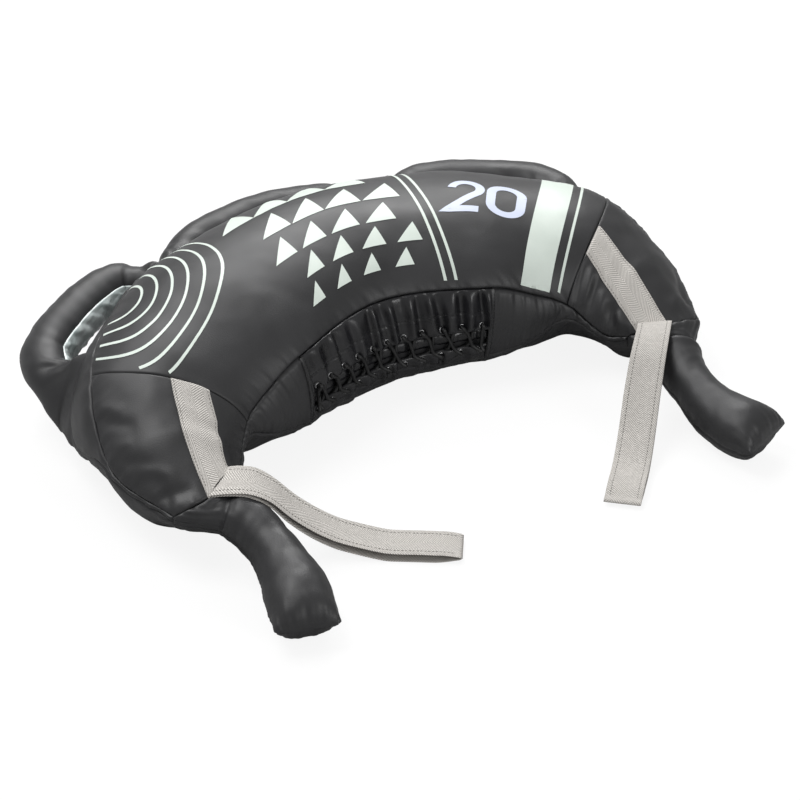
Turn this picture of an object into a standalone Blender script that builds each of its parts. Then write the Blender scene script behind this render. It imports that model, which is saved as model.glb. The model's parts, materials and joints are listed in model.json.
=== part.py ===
"""A bulgarian bag: a weighted crescent for gym training, lying on its flat underside.

The shell is one loft through the four long seams of the bag. Panels, padding and filler sacks
are all layers of that loft, so they follow every size that is set below. X runs along the span,
+Y to the convex outer side with the handles, and the horns point to -Y. Lengths are in metres.
"""
import math

import bmesh
import bpy
from mathutils import Matrix, Vector

# Overall sizes of the crescent
BODY_WIDTH = 0.726
BODY_DEPTH = 0.320
BODY_HEIGHT = 0.132

# Layers, from outside to inside
SKIN = 0.0012
FIT_GAP = 0.0003
PADDING = 0.012
SEAM_GAP = 0.0008
SACK_SPACING = 0.004

# Lacing
EYELETS_PER_ROW = 11
LACE_RADIUS = 0.0014
LACE_RECESS = 0.0052
LACE_SLANT_SHARE = .25
LACE_TUCK_SHARE = .72
EYELET_BORE_RADIUS = 0.0024
EYELET_BARREL_WALL = 0.0006
EYELET_FLANGE = 0.0016
EYELET_RIM = 0.0008
BINDING_WIDTH = 0.008
BINDING_THICKNESS = 0.001

# Horns: a ball root in the shell's open end, a neck, then a tube that lies down to the floor
HORN_REACH = 0.196
HORN_RADIUS = 0.034
HORN_BALL_RADIUS = 0.0251
HORN_BALL_ANGLES = (-60, -42, -20, 4, 26)
HORN_TIP_THICKNESS = 0.012
HORN_PATH_SHARES = ((0, 0, 0), (.012, .17, -.035), (.060, .40, -.092), (.098, .63, -.122),
                    (.076, .85, -.130), (.030, 1, -.136))
HORN_RING_SHARES = ((.15, .70, .68), (.27, .82, .80), (.43, .90, .90), (.60, .96, .95),
                    (.77, 1.04, .97), (.90, 1.08, .90), (.965, 1.04, .66))

# Outer handles: tubes with rounded sewn ends on the hinge line, silver lining on the hand side
HANDLE_RADIUS = 0.0275
HANDLE_NOSE_RADIUS = 0.0210
HANDLE_NOSE_ANGLES = (-70, -40, -8)
HANDLE_HEIGHT = 0.080
HANDLE_SWELL_SHARES = ((.13, .90), (.24, .98), (.37, 1), (.50, 1), (.63, 1), (.76, .98), (.87, .90))
HANDLE_BACK_SHARE = 1.192
SIDE_HANDLE_SHARES = ((.937, .532), (.948, .620), (.912, .703), (.787, .795), (.650, .866),
                      (.555, .888), (.4745, .857))
MIDDLE_HANDLE_SHARES = ((-.333, .8945), (-.255, .950), (-.120, .990), (0, 1), (.120, .990),
                        (.255, .950), (.333, .8945))
LINING = 0.0010
LINING_REACH = 2

# Webbing: a run sewn on each end panel, then a doubled loop that swings at the fold
WEBBING_WIDTH = 0.040
WEBBING = 0.0016
LOOP_LENGTH = 0.252
LOOP_OPENING = 0.0075
FOLD_HEIGHT_SHARE = .674
LEFT_FOLD_SHARES = (.766, -.135)
RIGHT_FOLD_SHARES = (.766, -.1275)
LEFT_LOOP_HEADING = math.radians(-35.5)
RIGHT_LOOP_HEADING = math.radians(-134)
# Shares of LOOP_LENGTH along, FOLD_HEIGHT up, and LOOP_OPENING between the layers
LEFT_LOOP_SHARES = ((0, 1, 0), (.06, 1.01, .05), (.13, .96, .2), (.21, .80, .4), (.31, .53, .6),
                    (.42, .31, .8), (.54, .16, .9), (.68, .070, 1), (.84, .064, 1),
                    (.93, .062, .85), (1, .06, 0))
RIGHT_LOOP_SHARES = ((0, 1, 0), (.06, 1.02, .05), (.14, 1, .1), (.24, .89, .2), (.35, .66, .4),
                     (.46, .42, .7), (.58, .21, .9), (.70, .078, 1), (.85, .064, 1),
                     (.93, .062, .85), (1, .06, 0))

# Faces
WALL_SIDES = 4
HORN_SIDES = 12
HANDLE_SIDES = 12
ROUND_STEPS = 8
LOOP_STEPS = 15

BOTH_ENDS = ("first", "last")

# The shell's half width, and where the webbing leaves the end panels
BODY_REACH = BODY_WIDTH / 2
FOLD_HEIGHT = BODY_HEIGHT * FOLD_HEIGHT_SHARE

# The handles' centre line at the back, behind the shell's deepest point
HANDLE_BACK = BODY_DEPTH * HANDLE_BACK_SHARE

# The frame's origin lies half way between the horn tips and the middle handle's back
BACK_REACH = HANDLE_BACK + HANDLE_RADIUS

# The long seams of the right half, from the middle of the span to the horn's root seam.
# Each row gives shares of BODY_REACH, BODY_DEPTH and BODY_HEIGHT.
STATIONS = ("middle", "lacing_end", "inner_run", "print_seam", "gusset_end", "root")
INNER_TOP_SHARES = ((0, .288, .970), (.342, .166, .940), (.460, .128, .818),
                    (.570, .075, .667), (.650, -.030, .430), (.689, -.107, .475))
OUTER_TOP_SHARES = ((0, 1, .992), (.485, .875, .992), (.711, .694, 1),
                    (.917, .409, .992), (.999, .104, .595), (.928, -.158, .490))
# From each top seam to the bottom seam under it
INNER_DROP_SHARES = ((0, -.048, -.743), (-.020, -.007, -.670), (-.005, -.028, -.428),
                     (.006, -.012, -.120), (0, 0, -.040), (0, 0, -.040))
OUTER_DROP_SHARES = ((0, .020, -.750), (.033, .031, -.734), (.060, .025, -.712),
                     (.050, .029, -.628), (0, 0, -.040), (0, 0, -.040))

# How far each wall swells past its seams, as shares of BODY_HEIGHT, at each station
TOP_SWELL_SHARES = (.41, .39, .36, .33, .40, .14)
INNER_SWELL_SHARES = (.07, .07, .06, .02, .005, .005)
BOTTOM_SWELL_SHARES = (.32, .32, .34, .40, .42, .20)
OUTER_SWELL_SHARES = (.10, .10, .10, .09, .005, .005)
FULLNESS = 0.72

# Where the lines across each wall run, as shares from its first seam to its second
TOP_LINE_SHARES = ((0, .2, .4, .6, .8, 1), (0, .2, .4, .6, .8, 1), (0, .24, .40, .56, .78, 1),
                   (0, .29, .41, .53, .77, 1), (0, .13, .29, .45, .72, 1), (0, .10, .32, .54, .77, 1))
INNER_LINE_SHARES = (0, .36, .57, .72, .90, 1)


def clear_scene():
    """Removes whatever the opened file holds."""
    for thing in list(bpy.data.objects):
        bpy.data.objects.remove(thing, do_unlink=True)


def new_collection(name):
    group = bpy.data.collections.new(name)
    bpy.context.scene.collection.children.link(group)
    return group


def finish(name, colour, roughness, metallic=0.0):
    """One Principled material."""
    material = bpy.data.materials.new(name)
    material.use_nodes = True
    shader = material.node_tree.nodes["Principled BSDF"]
    shader.inputs["Base Color"].default_value = (*colour, 1)
    shader.inputs["Roughness"].default_value = roughness
    shader.inputs["Metallic"].default_value = metallic
    material.diffuse_color = (*colour, 1)
    return material


def smooth_value(knots, values, at):
    """Reads a smooth curve through the values, which may be numbers or vectors."""
    last = len(knots) - 1
    k = max(i for i in range(last) if knots[i] <= at or i == 0)
    span = knots[k + 1] - knots[k]
    u = (at - knots[k]) / span

    def slope(i):
        low = max(i - 1, 0)
        high = min(i + 1, last)
        return (values[high] - values[low]) / (knots[high] - knots[low])

    a = 2 * u ** 3 - 3 * u ** 2 + 1
    b = u ** 3 - 2 * u ** 2 + u
    c = 3 * u ** 2 - 2 * u ** 3
    d = u ** 3 - u ** 2
    return values[k] * a + slope(k) * (span * b) + values[k + 1] * c + slope(k + 1) * (span * d)


def mirrored_knots():
    """Places of the stations along the span, negative on the left."""
    right = [0.0]
    middle = [seam_middle(i) for i in range(len(STATIONS))]
    for i in range(1, len(STATIONS)):
        right.append(right[-1] + (middle[i] - middle[i - 1]).length)
    return [-p for p in reversed(right[1:])] + right


def seam_point(shares):
    return Vector((shares[0] * BODY_REACH, shares[1] * BODY_DEPTH, shares[2] * BODY_HEIGHT))


def seam_middle(i):
    return (seam_point(INNER_TOP_SHARES[i]) + seam_point(OUTER_TOP_SHARES[i])) / 2


KNOTS = mirrored_knots()


def mirror_points(rows):
    points = [seam_point(row) for row in rows]
    left = [Vector((-p.x, p.y, p.z)) for p in reversed(points[1:])]
    return left + points


def mirror_values(values):
    return [values[abs(i)] for i in range(1 - len(values), len(values))]


SEAMS = {"inner_top": mirror_points(INNER_TOP_SHARES), "outer_top": mirror_points(OUTER_TOP_SHARES)}
DROPS = {"inner_bottom": mirror_points(INNER_DROP_SHARES),
         "outer_bottom": mirror_points(OUTER_DROP_SHARES)}
SWELLS = {
    "top": mirror_values(TOP_SWELL_SHARES),
    "inner": mirror_values(INNER_SWELL_SHARES),
    "bottom": mirror_values(BOTTOM_SWELL_SHARES),
    "outer": mirror_values(OUTER_SWELL_SHARES),
}
WALLS = {
    "top": ("inner_top", "outer_top"),
    "outer": ("outer_top", "outer_bottom"),
    "bottom": ("outer_bottom", "inner_bottom"),
    "inner": ("inner_bottom", "inner_top"),
}


def steady_value(knots, values, at):
    """Reads a curve through numbers that never overshoots them."""
    last = len(knots) - 1
    k = max(i for i in range(last) if knots[i] <= at or i == 0)
    rises = [(values[i + 1] - values[i]) / (knots[i + 1] - knots[i]) for i in range(last)]

    def slope(i):
        before = rises[max(i - 1, 0)]
        after = rises[min(i, last - 1)]
        if before * after <= 0:
            return 0
        return 2 * before * after / (before + after)

    span = knots[k + 1] - knots[k]
    u = (at - knots[k]) / span
    a = 2 * u ** 3 - 3 * u ** 2 + 1
    b = u ** 3 - 2 * u ** 2 + u
    c = 3 * u ** 2 - 2 * u ** 3
    d = u ** 3 - u ** 2
    return values[k] * a + slope(k) * (span * b) + values[k + 1] * c + slope(k + 1) * (span * d)


def seam(name, at):
    if name in SEAMS:
        return smooth_value(KNOTS, SEAMS[name], at)
    drop = [steady_value(KNOTS, [row[axis] for row in DROPS[name]], at) for axis in range(3)]
    return seam(name.replace("bottom", "top"), at) + Vector(drop)


def heading(at):
    """Level direction along the crescent, towards the right-hand horn."""
    step = BODY_REACH / 200
    low = max(at - step, KNOTS[0])
    high = min(at + step, KNOTS[-1])
    ahead = seam("inner_top", high) + seam("outer_top", high)
    behind = seam("inner_top", low) + seam("outer_top", low)
    way = ahead - behind
    way.z = 0
    return way.normalized()


def wall_point(wall, at, share):
    """A point on the inside face of one wall of the shell."""
    first, second = (seam(name, at) for name in WALLS[wall])
    chord = second - first
    out = heading(at).cross(chord).normalized()
    swell = steady_value(KNOTS, SWELLS[wall], at) * BODY_HEIGHT
    bow = max(4 * share * (1 - share), 0) ** FULLNESS
    point = first + chord * share + out * (swell * bow)
    point.z = max(point.z, SKIN)
    return point


def lines_along():
    """Every cross line of the loft, from the left root to the right root."""
    middle = len(STATIONS) - 1
    runs = ((1, 2, 2), (2, 3, 2), (3, 4, 3), (4, 5, 2))
    right = []
    for first, second, count in runs:
        for i in range(1, count + 1):
            low = KNOTS[middle + first]
            high = KNOTS[middle + second]
            right.append(low + (high - low) * i / count)
    end = KNOTS[middle + 1]
    laced = [end * (2 * i / EYELETS_PER_ROW - 1) for i in range(EYELETS_PER_ROW + 1)]
    return [-p for p in reversed(right)] + laced + right


LINES = lines_along()
LACED = (9, 9 + EYELETS_PER_ROW)
PRINTED = (5, len(LINES) - 6)


def top_share(at, line):
    values = mirror_values([row[line] for row in TOP_LINE_SHARES])
    return smooth_value(KNOTS, values, at)


def wall_shares(wall, at):
    if wall == "top":
        return [top_share(at, i) for i in range(len(TOP_LINE_SHARES[0]))]
    if wall == "inner":
        return [1 - share for share in reversed(INNER_LINE_SHARES)]
    return [i / WALL_SIDES for i in range(WALL_SIDES + 1)]


def section(at):
    """Points once round the shell at one place, and the index where each wall starts."""
    points = []
    starts = {}
    for wall in WALLS:
        starts[wall] = len(points)
        points += [wall_point(wall, at, share) for share in wall_shares(wall, at)[:-1]]
    return points, starts


WALL_STARTS = section(0)[1]
ROUND = len(section(0)[0])
WALL_LINES = {"top": 5, "outer": WALL_SIDES, "bottom": WALL_SIDES, "inner": 5}


def body_grid():
    return [section(at)[0] for at in LINES]


def grid_normals(grid, closed):
    """Outward unit normal at each point of a grid of rings."""
    rows = len(grid)
    cols = len(grid[0])
    normals = []
    for i in range(rows):
        row = []
        for j in range(cols):
            before = grid[i][(j - 1) % cols] if closed or j else grid[i][j]
            after = grid[i][(j + 1) % cols] if closed or j < cols - 1 else grid[i][j]
            along = grid[min(i + 1, rows - 1)][j] - grid[max(i - 1, 0)][j]
            row.append(along.cross(after - before).normalized())
        normals.append(row)
    return normals


def grid_mesh(name, grid, closed=False, ends=()):
    """Triangles between neighbouring rows of points, all split along the same diagonal."""
    mesh = bmesh.new()
    rows = [[mesh.verts.new(point) for point in row] for row in grid]
    cols = len(grid[0])
    for low, high in zip(rows, rows[1:]):
        for j in range(cols if closed else cols - 1):
            k = (j + 1) % cols
            mesh.faces.new((low[j], high[j], low[k]))
            mesh.faces.new((high[j], high[k], low[k]))
    for row, turn, end in ((rows[0], 1, "first"), (rows[-1], -1, "last")):
        if end not in ends:
            continue
        centre = mesh.verts.new(sum((v.co for v in row), Vector()) / cols)
        for j in range(cols):
            pair = (row[j], row[(j + 1) % cols])[::turn]
            mesh.faces.new((*pair, centre))
    data = bpy.data.meshes.new(name)
    mesh.to_mesh(data)
    mesh.free()
    return data


def add_object(name, data, material, group, parent=None):
    thing = bpy.data.objects.new(name, data)
    group.objects.link(thing)
    if material:
        data.materials.append(material)
    if parent:
        thing.parent = parent
        thing.matrix_parent_inverse = parent.matrix_world.inverted()
    return thing


def add_thickness(thing, thickness, side):
    """Solidify outwards (side 1) or inwards (side -1) from the modelled surface."""
    shell = thing.modifiers.new("thickness", "SOLIDIFY")
    shell.thickness = thickness
    shell.offset = side
    return shell


def offset_grid(grid, normals, distance):
    return [[point + normal * distance for point, normal in zip(row, out)]
            for row, out in zip(grid, normals)]


def inset_edges(grid):
    """Draws the edges of an open patch in by half a seam gap."""
    half = SEAM_GAP / 2

    def drawn(point, inner):
        return point + (inner - point).normalized() * half

    rows = [list(row) for row in grid]
    for row in rows:
        row[0] = drawn(row[0], row[1])
        row[-1] = drawn(row[-1], row[-2])
    rows[0] = [drawn(p, q) for p, q in zip(rows[0], rows[1])]
    rows[-1] = [drawn(p, q) for p, q in zip(rows[-1], rows[-2])]
    return rows


def patch(grid, rows, cols):
    """Part of the shell's grid. Columns count on past the last one to the first again."""
    return [[grid[i][j % ROUND] for j in range(cols[0], cols[1] + 1)]
            for i in range(rows[0], rows[1] + 1)]


def wall_cols(wall, first=0, last=None):
    start = WALL_STARTS[wall]
    return start + first, start + (WALL_LINES[wall] if last is None else last)


def add_panel(name, grid, rows, cols, material, group):
    """One sewn panel: a patch of the loft with the skin's thickness outside it."""
    panel = add_object(name, grid_mesh(name, inset_edges(patch(grid, rows, cols))), material, group)
    add_thickness(panel, SKIN, 1)
    return panel


def shrunk(grid, depth):
    """The same rings drawn in by a depth at their widest and highest."""
    rings = []
    for ring in grid:
        centre = sum(ring, Vector()) / len(ring)
        half_up = (max(p.z for p in ring) - min(p.z for p in ring)) / 2
        half_out = max((p - centre).xy.length for p in ring)
        level = 1 - depth / half_out
        upright = 1 - depth / half_up
        middle = (max(p.z for p in ring) + min(p.z for p in ring)) / 2
        rings.append([Vector((centre.x + (p.x - centre.x) * level,
                              centre.y + (p.y - centre.y) * level,
                              middle + (p.z - middle) * upright)) for p in ring])
    return rings


def padding_grid(grid, normals):
    """Outside of the padding: just under the shell, and hollowed behind the lacing."""
    start = WALL_STARTS["inner"]
    rings = []
    for i in range(1, len(grid) - 1):
        ring = []
        for j in range(ROUND):
            laced = LACED[0] <= i <= LACED[1] and start < j
            ring.append(grid[i][j] - normals[i][j] * (LACE_RECESS if laced else FIT_GAP))
        rings.append(ring)
    return rings


def add_tube_shell(name, outer, inner, material, group):
    """A sleeve open at both ends, between two nested grids of rings."""
    mesh = bmesh.new()
    skins = [[[mesh.verts.new(p) for p in ring] for ring in rings] for rings in (outer, inner)]
    sides = len(outer[0])
    for rings, turn in zip(skins, (1, -1)):
        for low, high in zip(rings, rings[1:]):
            for j in range(sides):
                k = (j + 1) % sides
                mesh.faces.new((low[j], high[j], low[k])[::turn])
                mesh.faces.new((high[j], high[k], low[k])[::turn])
    for i, turn in ((0, 1), (-1, -1)):
        for j in range(sides):
            k = (j + 1) % sides
            rim = (skins[0][i][j], skins[0][i][k], skins[1][i][k], skins[1][i][j])
            mesh.faces.new(rim[::turn])
    data = bpy.data.meshes.new(name)
    mesh.to_mesh(data)
    mesh.free()
    return add_object(name, data, material, group)


def cut_short(rings, space):
    """Rings whose two ends are drawn in along the run."""
    ends = list(rings)

    def toward(ring, following):
        return [p + (q - p).normalized() * space for p, q in zip(ring, following)]

    ends[0] = toward(rings[0], rings[1])
    ends[-1] = toward(rings[-1], rings[-2])
    return ends


def make_shell(grid, materials, group):
    first, last = 0, len(grid) - 1
    leather = materials["leather"]
    add_panel("top_print_panel", grid, PRINTED, wall_cols("top"), leather, group)
    add_panel("left_end_panel", grid, (first, PRINTED[0]), wall_cols("top"), leather, group)
    add_panel("right_end_panel", grid, (PRINTED[1], last), wall_cols("top"), leather, group)
    add_panel("outer_gusset", grid, (first, last), wall_cols("outer"), leather, group)
    add_panel("bottom_panel", grid, (first, last), wall_cols("bottom"), leather, group)
    add_panel("left_inner_panel", grid, (first, LACED[0]), wall_cols("inner"), leather, group)
    add_panel("right_inner_panel", grid, (LACED[1], last), wall_cols("inner"), leather, group)


def make_filling(grid, normals, materials, group):
    """Padding all round, and three sacks of filler inside it."""
    outside = padding_grid(grid, normals)
    inside = shrunk(outside, PADDING)
    add_tube_shell("padding_wrap", outside, inside, materials["felt"], group)
    core = shrunk(outside, PADDING + FIT_GAP * 3)
    split = (LACED[0] + 1, LACED[1] - 3)
    for name, low, high in (("left_filler_sack", 1, split[0]), ("middle_filler_sack", *split),
                            ("right_filler_sack", split[1], len(core) - 2)):
        rings = cut_short(core[low:high + 1], SACK_SPACING / 2)
        data = grid_mesh(name, rings, True, BOTH_ENDS)
        add_object(name, data, materials["canvas"], group)


def eyelet_seats(grid):
    """Middle and outward normal of each lacing facet, in an upper and a lower row."""
    start = WALL_STARTS["inner"]
    seats = {"upper": [], "lower": []}
    for i in range(*LACED):
        for row, col in (("upper", 3), ("lower", 1)):
            j = start + col
            k = (j + 1) % ROUND
            middle = (grid[i][k] + grid[i + 1][j]) / 2
            across = grid[i][k] - grid[i + 1][j]
            out = (grid[i + 1][k] - grid[i][j]).cross(across).normalized()
            seats[row].append((middle, out))
    return seats


def seat_matrix(middle, out):
    return Matrix.Translation(middle) @ out.to_track_quat("Z", "Y").to_matrix().to_4x4()


def eyelet_profile():
    barrel = EYELET_BORE_RADIUS + EYELET_BARREL_WALL
    foot = -FIT_GAP
    under = SKIN + FIT_GAP * 1.5
    top = under + EYELET_RIM
    ring = ((EYELET_BORE_RADIUS, foot), (EYELET_BORE_RADIUS, top), (barrel + EYELET_FLANGE, top),
            (barrel + EYELET_FLANGE, under), (barrel, under), (barrel, foot))
    return ring


def make_lacing(grid, materials, group, cutters):
    """Two flaps with eyelet holes, the eyelets, and the binding over each end of the flaps."""
    seats = eyelet_seats(grid)
    flaps = {
        "upper": add_panel("upper_lace_flap", grid, LACED, wall_cols("inner", 3, 5),
                           materials["leather"], group),
        "lower": add_panel("lower_lace_flap", grid, LACED, wall_cols("inner", 0, 2),
                           materials["leather"], group),
    }
    hole_radius = EYELET_BORE_RADIUS + EYELET_BARREL_WALL + FIT_GAP
    profile = eyelet_profile()
    data = bpy.data.meshes.new("eyelet")
    data.from_pydata([(r, 0, z) for r, z in profile],
                     [(i, (i + 1) % len(profile)) for i in range(len(profile))], [])
    data.materials.append(materials["steel"])
    for row, places in seats.items():
        punch = bmesh.new()
        for i, (middle, out) in enumerate(places):
            bmesh.ops.create_cone(punch, cap_ends=True, segments=ROUND_STEPS, radius1=hole_radius,
                                  radius2=hole_radius, depth=SKIN * 8,
                                  matrix=seat_matrix(middle, out))
            eyelet = add_object(f"{row}_eyelet_{i + 1:02d}", data, None, group)
            eyelet.matrix_world = seat_matrix(middle, out)
            turn = eyelet.modifiers.new("turned", "SCREW")
            turn.steps = ROUND_STEPS
            turn.render_steps = ROUND_STEPS
            turn.use_merge_vertices = True
            turn.merge_threshold = 0.00001
        punch_data = bpy.data.meshes.new(f"{row}_punch")
        punch.to_mesh(punch_data)
        punch.free()
        cutter = add_object(f"{row}_punch", punch_data, None, cutters)
        cutter.hide_render = True
        cutter.display_type = "WIRE"
        holes = flaps[row].modifiers.new("eyelet_holes", "BOOLEAN")
        holes.operation = "DIFFERENCE"
        holes.solver = "EXACT"
        holes.object = cutter
    make_lace(grid, seats, materials["lace"], group)
    for side, line in (("left", LACED[0]), ("right", LACED[1])):
        make_binding(side, line, grid, materials["leather"], group)


def make_binding(side, line, grid, material, group):
    """A narrow strip over the joint between a plain inner panel and the flaps."""
    columns = patch(grid, (line - 1, line + 1), wall_cols("inner"))
    half = BINDING_WIDTH / 2
    rows = []
    for low, middle, high in zip(*columns):
        rows.append([middle + (low - middle).normalized() * half, middle,
                     middle + (high - middle).normalized() * half])
    strip = [list(row) for row in zip(*rows)]
    for row in strip:
        row[0] = row[0] + (row[1] - row[0]).normalized() * SKIN
        row[-1] = row[-1] + (row[-2] - row[-1]).normalized() * SKIN
    lifted = offset_grid(strip, grid_normals(strip, False), SKIN + FIT_GAP)
    name = f"{side}_lace_binding"
    binding = add_object(name, grid_mesh(name, lifted), material, group)
    add_thickness(binding, BINDING_THICKNESS, 1)


def lace_route(grid, normals, seats):
    """Points of the lace: a bar at the right, then two halves that cross down to the left."""
    start = WALL_STARTS["inner"]
    behind = -(LACE_RADIUS + FIT_GAP * 2.5)
    over_eyelet = SKIN + EYELET_RIM + LACE_RADIUS + FIT_GAP * 4
    over_skin = SKIN + LACE_RADIUS + FIT_GAP * 1.5
    crossing = LACE_RADIUS + FIT_GAP * 1.5
    edges = {"upper": start + 3, "lower": start + 2}
    other = {"upper": "lower", "lower": "upper"}

    def on_edge(row, at, height):
        i = int(at)
        j = edges[row]
        return (grid[i][j].lerp(grid[i + 1][j], at - i)
                + normals[i][j].lerp(normals[i + 1][j], at - i) * height)

    def at_eyelet(row, k, height):
        middle, out = seats[row][k]
        return middle + out * height

    def half_lace(row):
        points = []
        rise = crossing if row == "upper" else -crossing
        for k in range(EYELETS_PER_ROW - 1, 0, -1):
            line = LACED[0] + k
            far = other[row]
            points.append(at_eyelet(row, k, over_eyelet))
            points.append(at_eyelet(row, k, behind))
            points.append(on_edge(row, line + LACE_SLANT_SHARE, behind))
            middle = (on_edge(row, line, rise) + on_edge(far, line, rise)) / 2
            points.append(middle)
            points.append(on_edge(far, line - LACE_SLANT_SHARE, over_skin))
            row = far
            rise = crossing if rise > 0 else -crossing
        points.append(at_eyelet(row, 0, over_eyelet))
        points.append(at_eyelet(row, 0, behind))
        tuck = on_edge(row, LACED[0] + LACE_TUCK_SHARE, behind)
        points.append(tuck)
        return points

    return list(reversed(half_lace("upper"))) + half_lace("lower")


def poly_tube(name, points, radius, resolution, material, group):
    curve = bpy.data.curves.new(name, "CURVE")
    curve.dimensions = "3D"
    line = curve.splines.new("POLY")
    line.points.add(len(points) - 1)
    for knot, point in zip(line.points, points):
        knot.co = (*point, 1)
    curve.bevel_depth = radius
    curve.bevel_resolution = resolution
    curve.use_fill_caps = True
    return add_object(name, curve, material, group)


def make_lace(grid, seats, material, group):
    normals = grid_normals(grid, True)
    poly_tube("lace", lace_route(grid, normals, seats), LACE_RADIUS, 1, material, group)


def smooth_path(points):
    """Returns a function of the share along a smooth line through the points."""
    knots = [0.0]
    for a, b in zip(points, points[1:]):
        knots.append(knots[-1] + (b - a).length)
    knots = [k / knots[-1] for k in knots]

    def place(share):
        return smooth_value(knots, points, share)

    return place


def path_heading(place, share):
    step = 0.01
    return (place(min(share + step, 1)) - place(max(share - step, 0))).normalized()


def ring_points(centre, across, upward, half_width, half_height, sides, angles=None):
    turns = angles or [360 * k / sides for k in range(sides)]
    points = []
    for turn in turns:
        a = math.radians(turn)
        points.append(centre + across * (half_width * math.cos(a))
                      + upward * (half_height * math.sin(a)))
    return points


def horn_frame(side, grid):
    """Centre of the horn's root, its hinge axis across the root, and its first heading."""
    ring = grid[-1] if side > 0 else grid[0]
    outer = ring[WALL_STARTS["outer"]]
    inner = ring[WALL_STARTS["top"]]
    across = inner - outer
    across.z = 0
    across.normalize()
    centre = (outer + inner) / 2
    high = max(p.z for p in ring)
    low = min(p.z for p in ring)
    centre.z = (high + low) / 2
    ahead = Vector((0, 0, 1)).cross(across)
    if ahead.y > 0:
        ahead.negate()
    return centre, across, ahead


def horn_rings(side, grid, inset, floor):
    """Rings of a horn from its ball root to its tip, all drawn in by an inset."""
    centre, across, ahead = horn_frame(side, grid)
    up = Vector((0, 0, 1))
    rings = []
    if side < 0:
        across = -across
    for angle in HORN_BALL_ANGLES:
        a = math.radians(angle)
        middle = centre + ahead * ((HORN_BALL_RADIUS - inset) * math.sin(a))
        radius = (HORN_BALL_RADIUS - inset) * math.cos(a)
        rings.append(ring_points(middle, across, up, radius, radius, HORN_SIDES))
    reach = [Vector((-side * x, -y, z)) * HORN_REACH + centre for x, y, z in HORN_PATH_SHARES]
    place = smooth_path(reach)
    kept = 1 - inset * 2 / HORN_REACH
    for share, wide_share, high_share in HORN_RING_SHARES:
        share *= kept
        way = path_heading(place, share)
        level = way.cross(up).normalized()
        if level.dot(across) < 0:
            level.negate()
        rise = way.cross(level).normalized()
        if rise.z < 0:
            rise.negate()
        rings.append(ring_points(place(share), level, rise, HORN_RADIUS * wide_share - inset,
                                 HORN_RADIUS * high_share - inset, HORN_SIDES))
    way = path_heading(place, 1)
    level = way.cross(up).normalized()
    if level.dot(across) < 0:
        level.negate()
    rings.append(ring_points(place(kept), level, up, HORN_RADIUS * .98 - inset,
                             HORN_TIP_THICKNESS / 2 - inset, HORN_SIDES))
    for ring in rings:
        for point in ring:
            point.z = max(point.z, floor)
    return rings


def make_horns(grid, materials, group):
    """Each horn: a sewn sleeve with its mouth in the shell's end, and loose stuffing in it."""
    for name, side in (("left", -1), ("right", 1)):
        centre = horn_frame(side, grid)[0]
        pivot = bpy.data.objects.new(f"{name}_horn_pivot", None)
        pivot.location = centre
        group.objects.link(pivot)
        bpy.context.view_layer.update()
        outer = horn_rings(side, grid, 0, 0)
        sleeve_data = grid_mesh(f"{name}_horn_sleeve", turned_out(outer), True, ("last",))
        sleeve = add_object(f"{name}_horn_sleeve", sleeve_data, materials["leather"], group, pivot)
        add_thickness(sleeve, SKIN, -1)
        filling = horn_rings(side, grid, SKIN + FIT_GAP * 4, SKIN + FIT_GAP * 4)
        data = grid_mesh(f"{name}_horn_stuffing", turned_out(filling), True, BOTH_ENDS)
        add_object(f"{name}_horn_stuffing", data, materials["felt"], group, pivot)


def turned_out(rings):
    """The same rings, run round the way that makes their loft look outwards."""
    i = len(rings) // 2
    centre = sum(rings[i], Vector()) / len(rings[i])
    corner = rings[i][0]
    out = (rings[i + 1][0] - corner).cross(rings[i][1] - corner)
    if out.dot(corner - centre) < 0:
        rings = [ring[:1] + ring[:0:-1] for ring in rings]
    return rings


def handle_points(rows, side):
    return [Vector((side * x * BODY_REACH, y * HANDLE_BACK, HANDLE_HEIGHT)) for x, y in rows]


def handle_rings(points):
    """Rings of a handle tube from nose to nose, each starting on the side of the hand."""
    place = smooth_path(points)
    up = Vector((0, 0, 1))
    middle = sum(points, Vector()) / len(points)
    hand = middle - place(.5)
    rings = []

    def ring(centre, way, radius):
        level = way.cross(up).normalized()
        if level.dot(hand) < 0:
            level.negate()
        rings.append(ring_points(centre, level, up, radius, radius, HANDLE_SIDES))

    first = path_heading(place, 0)
    last = path_heading(place, 1)
    for angle in HANDLE_NOSE_ANGLES:
        a = math.radians(angle)
        ring(points[0] + first * (HANDLE_NOSE_RADIUS * math.sin(a)), first,
             HANDLE_NOSE_RADIUS * math.cos(a))
    for share, swell in HANDLE_SWELL_SHARES:
        ring(place(share), path_heading(place, share), HANDLE_RADIUS * swell)
    for angle in reversed(HANDLE_NOSE_ANGLES):
        a = math.radians(angle)
        ring(points[-1] - last * (HANDLE_NOSE_RADIUS * math.sin(a)), last,
             HANDLE_NOSE_RADIUS * math.cos(a))
    return rings


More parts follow.
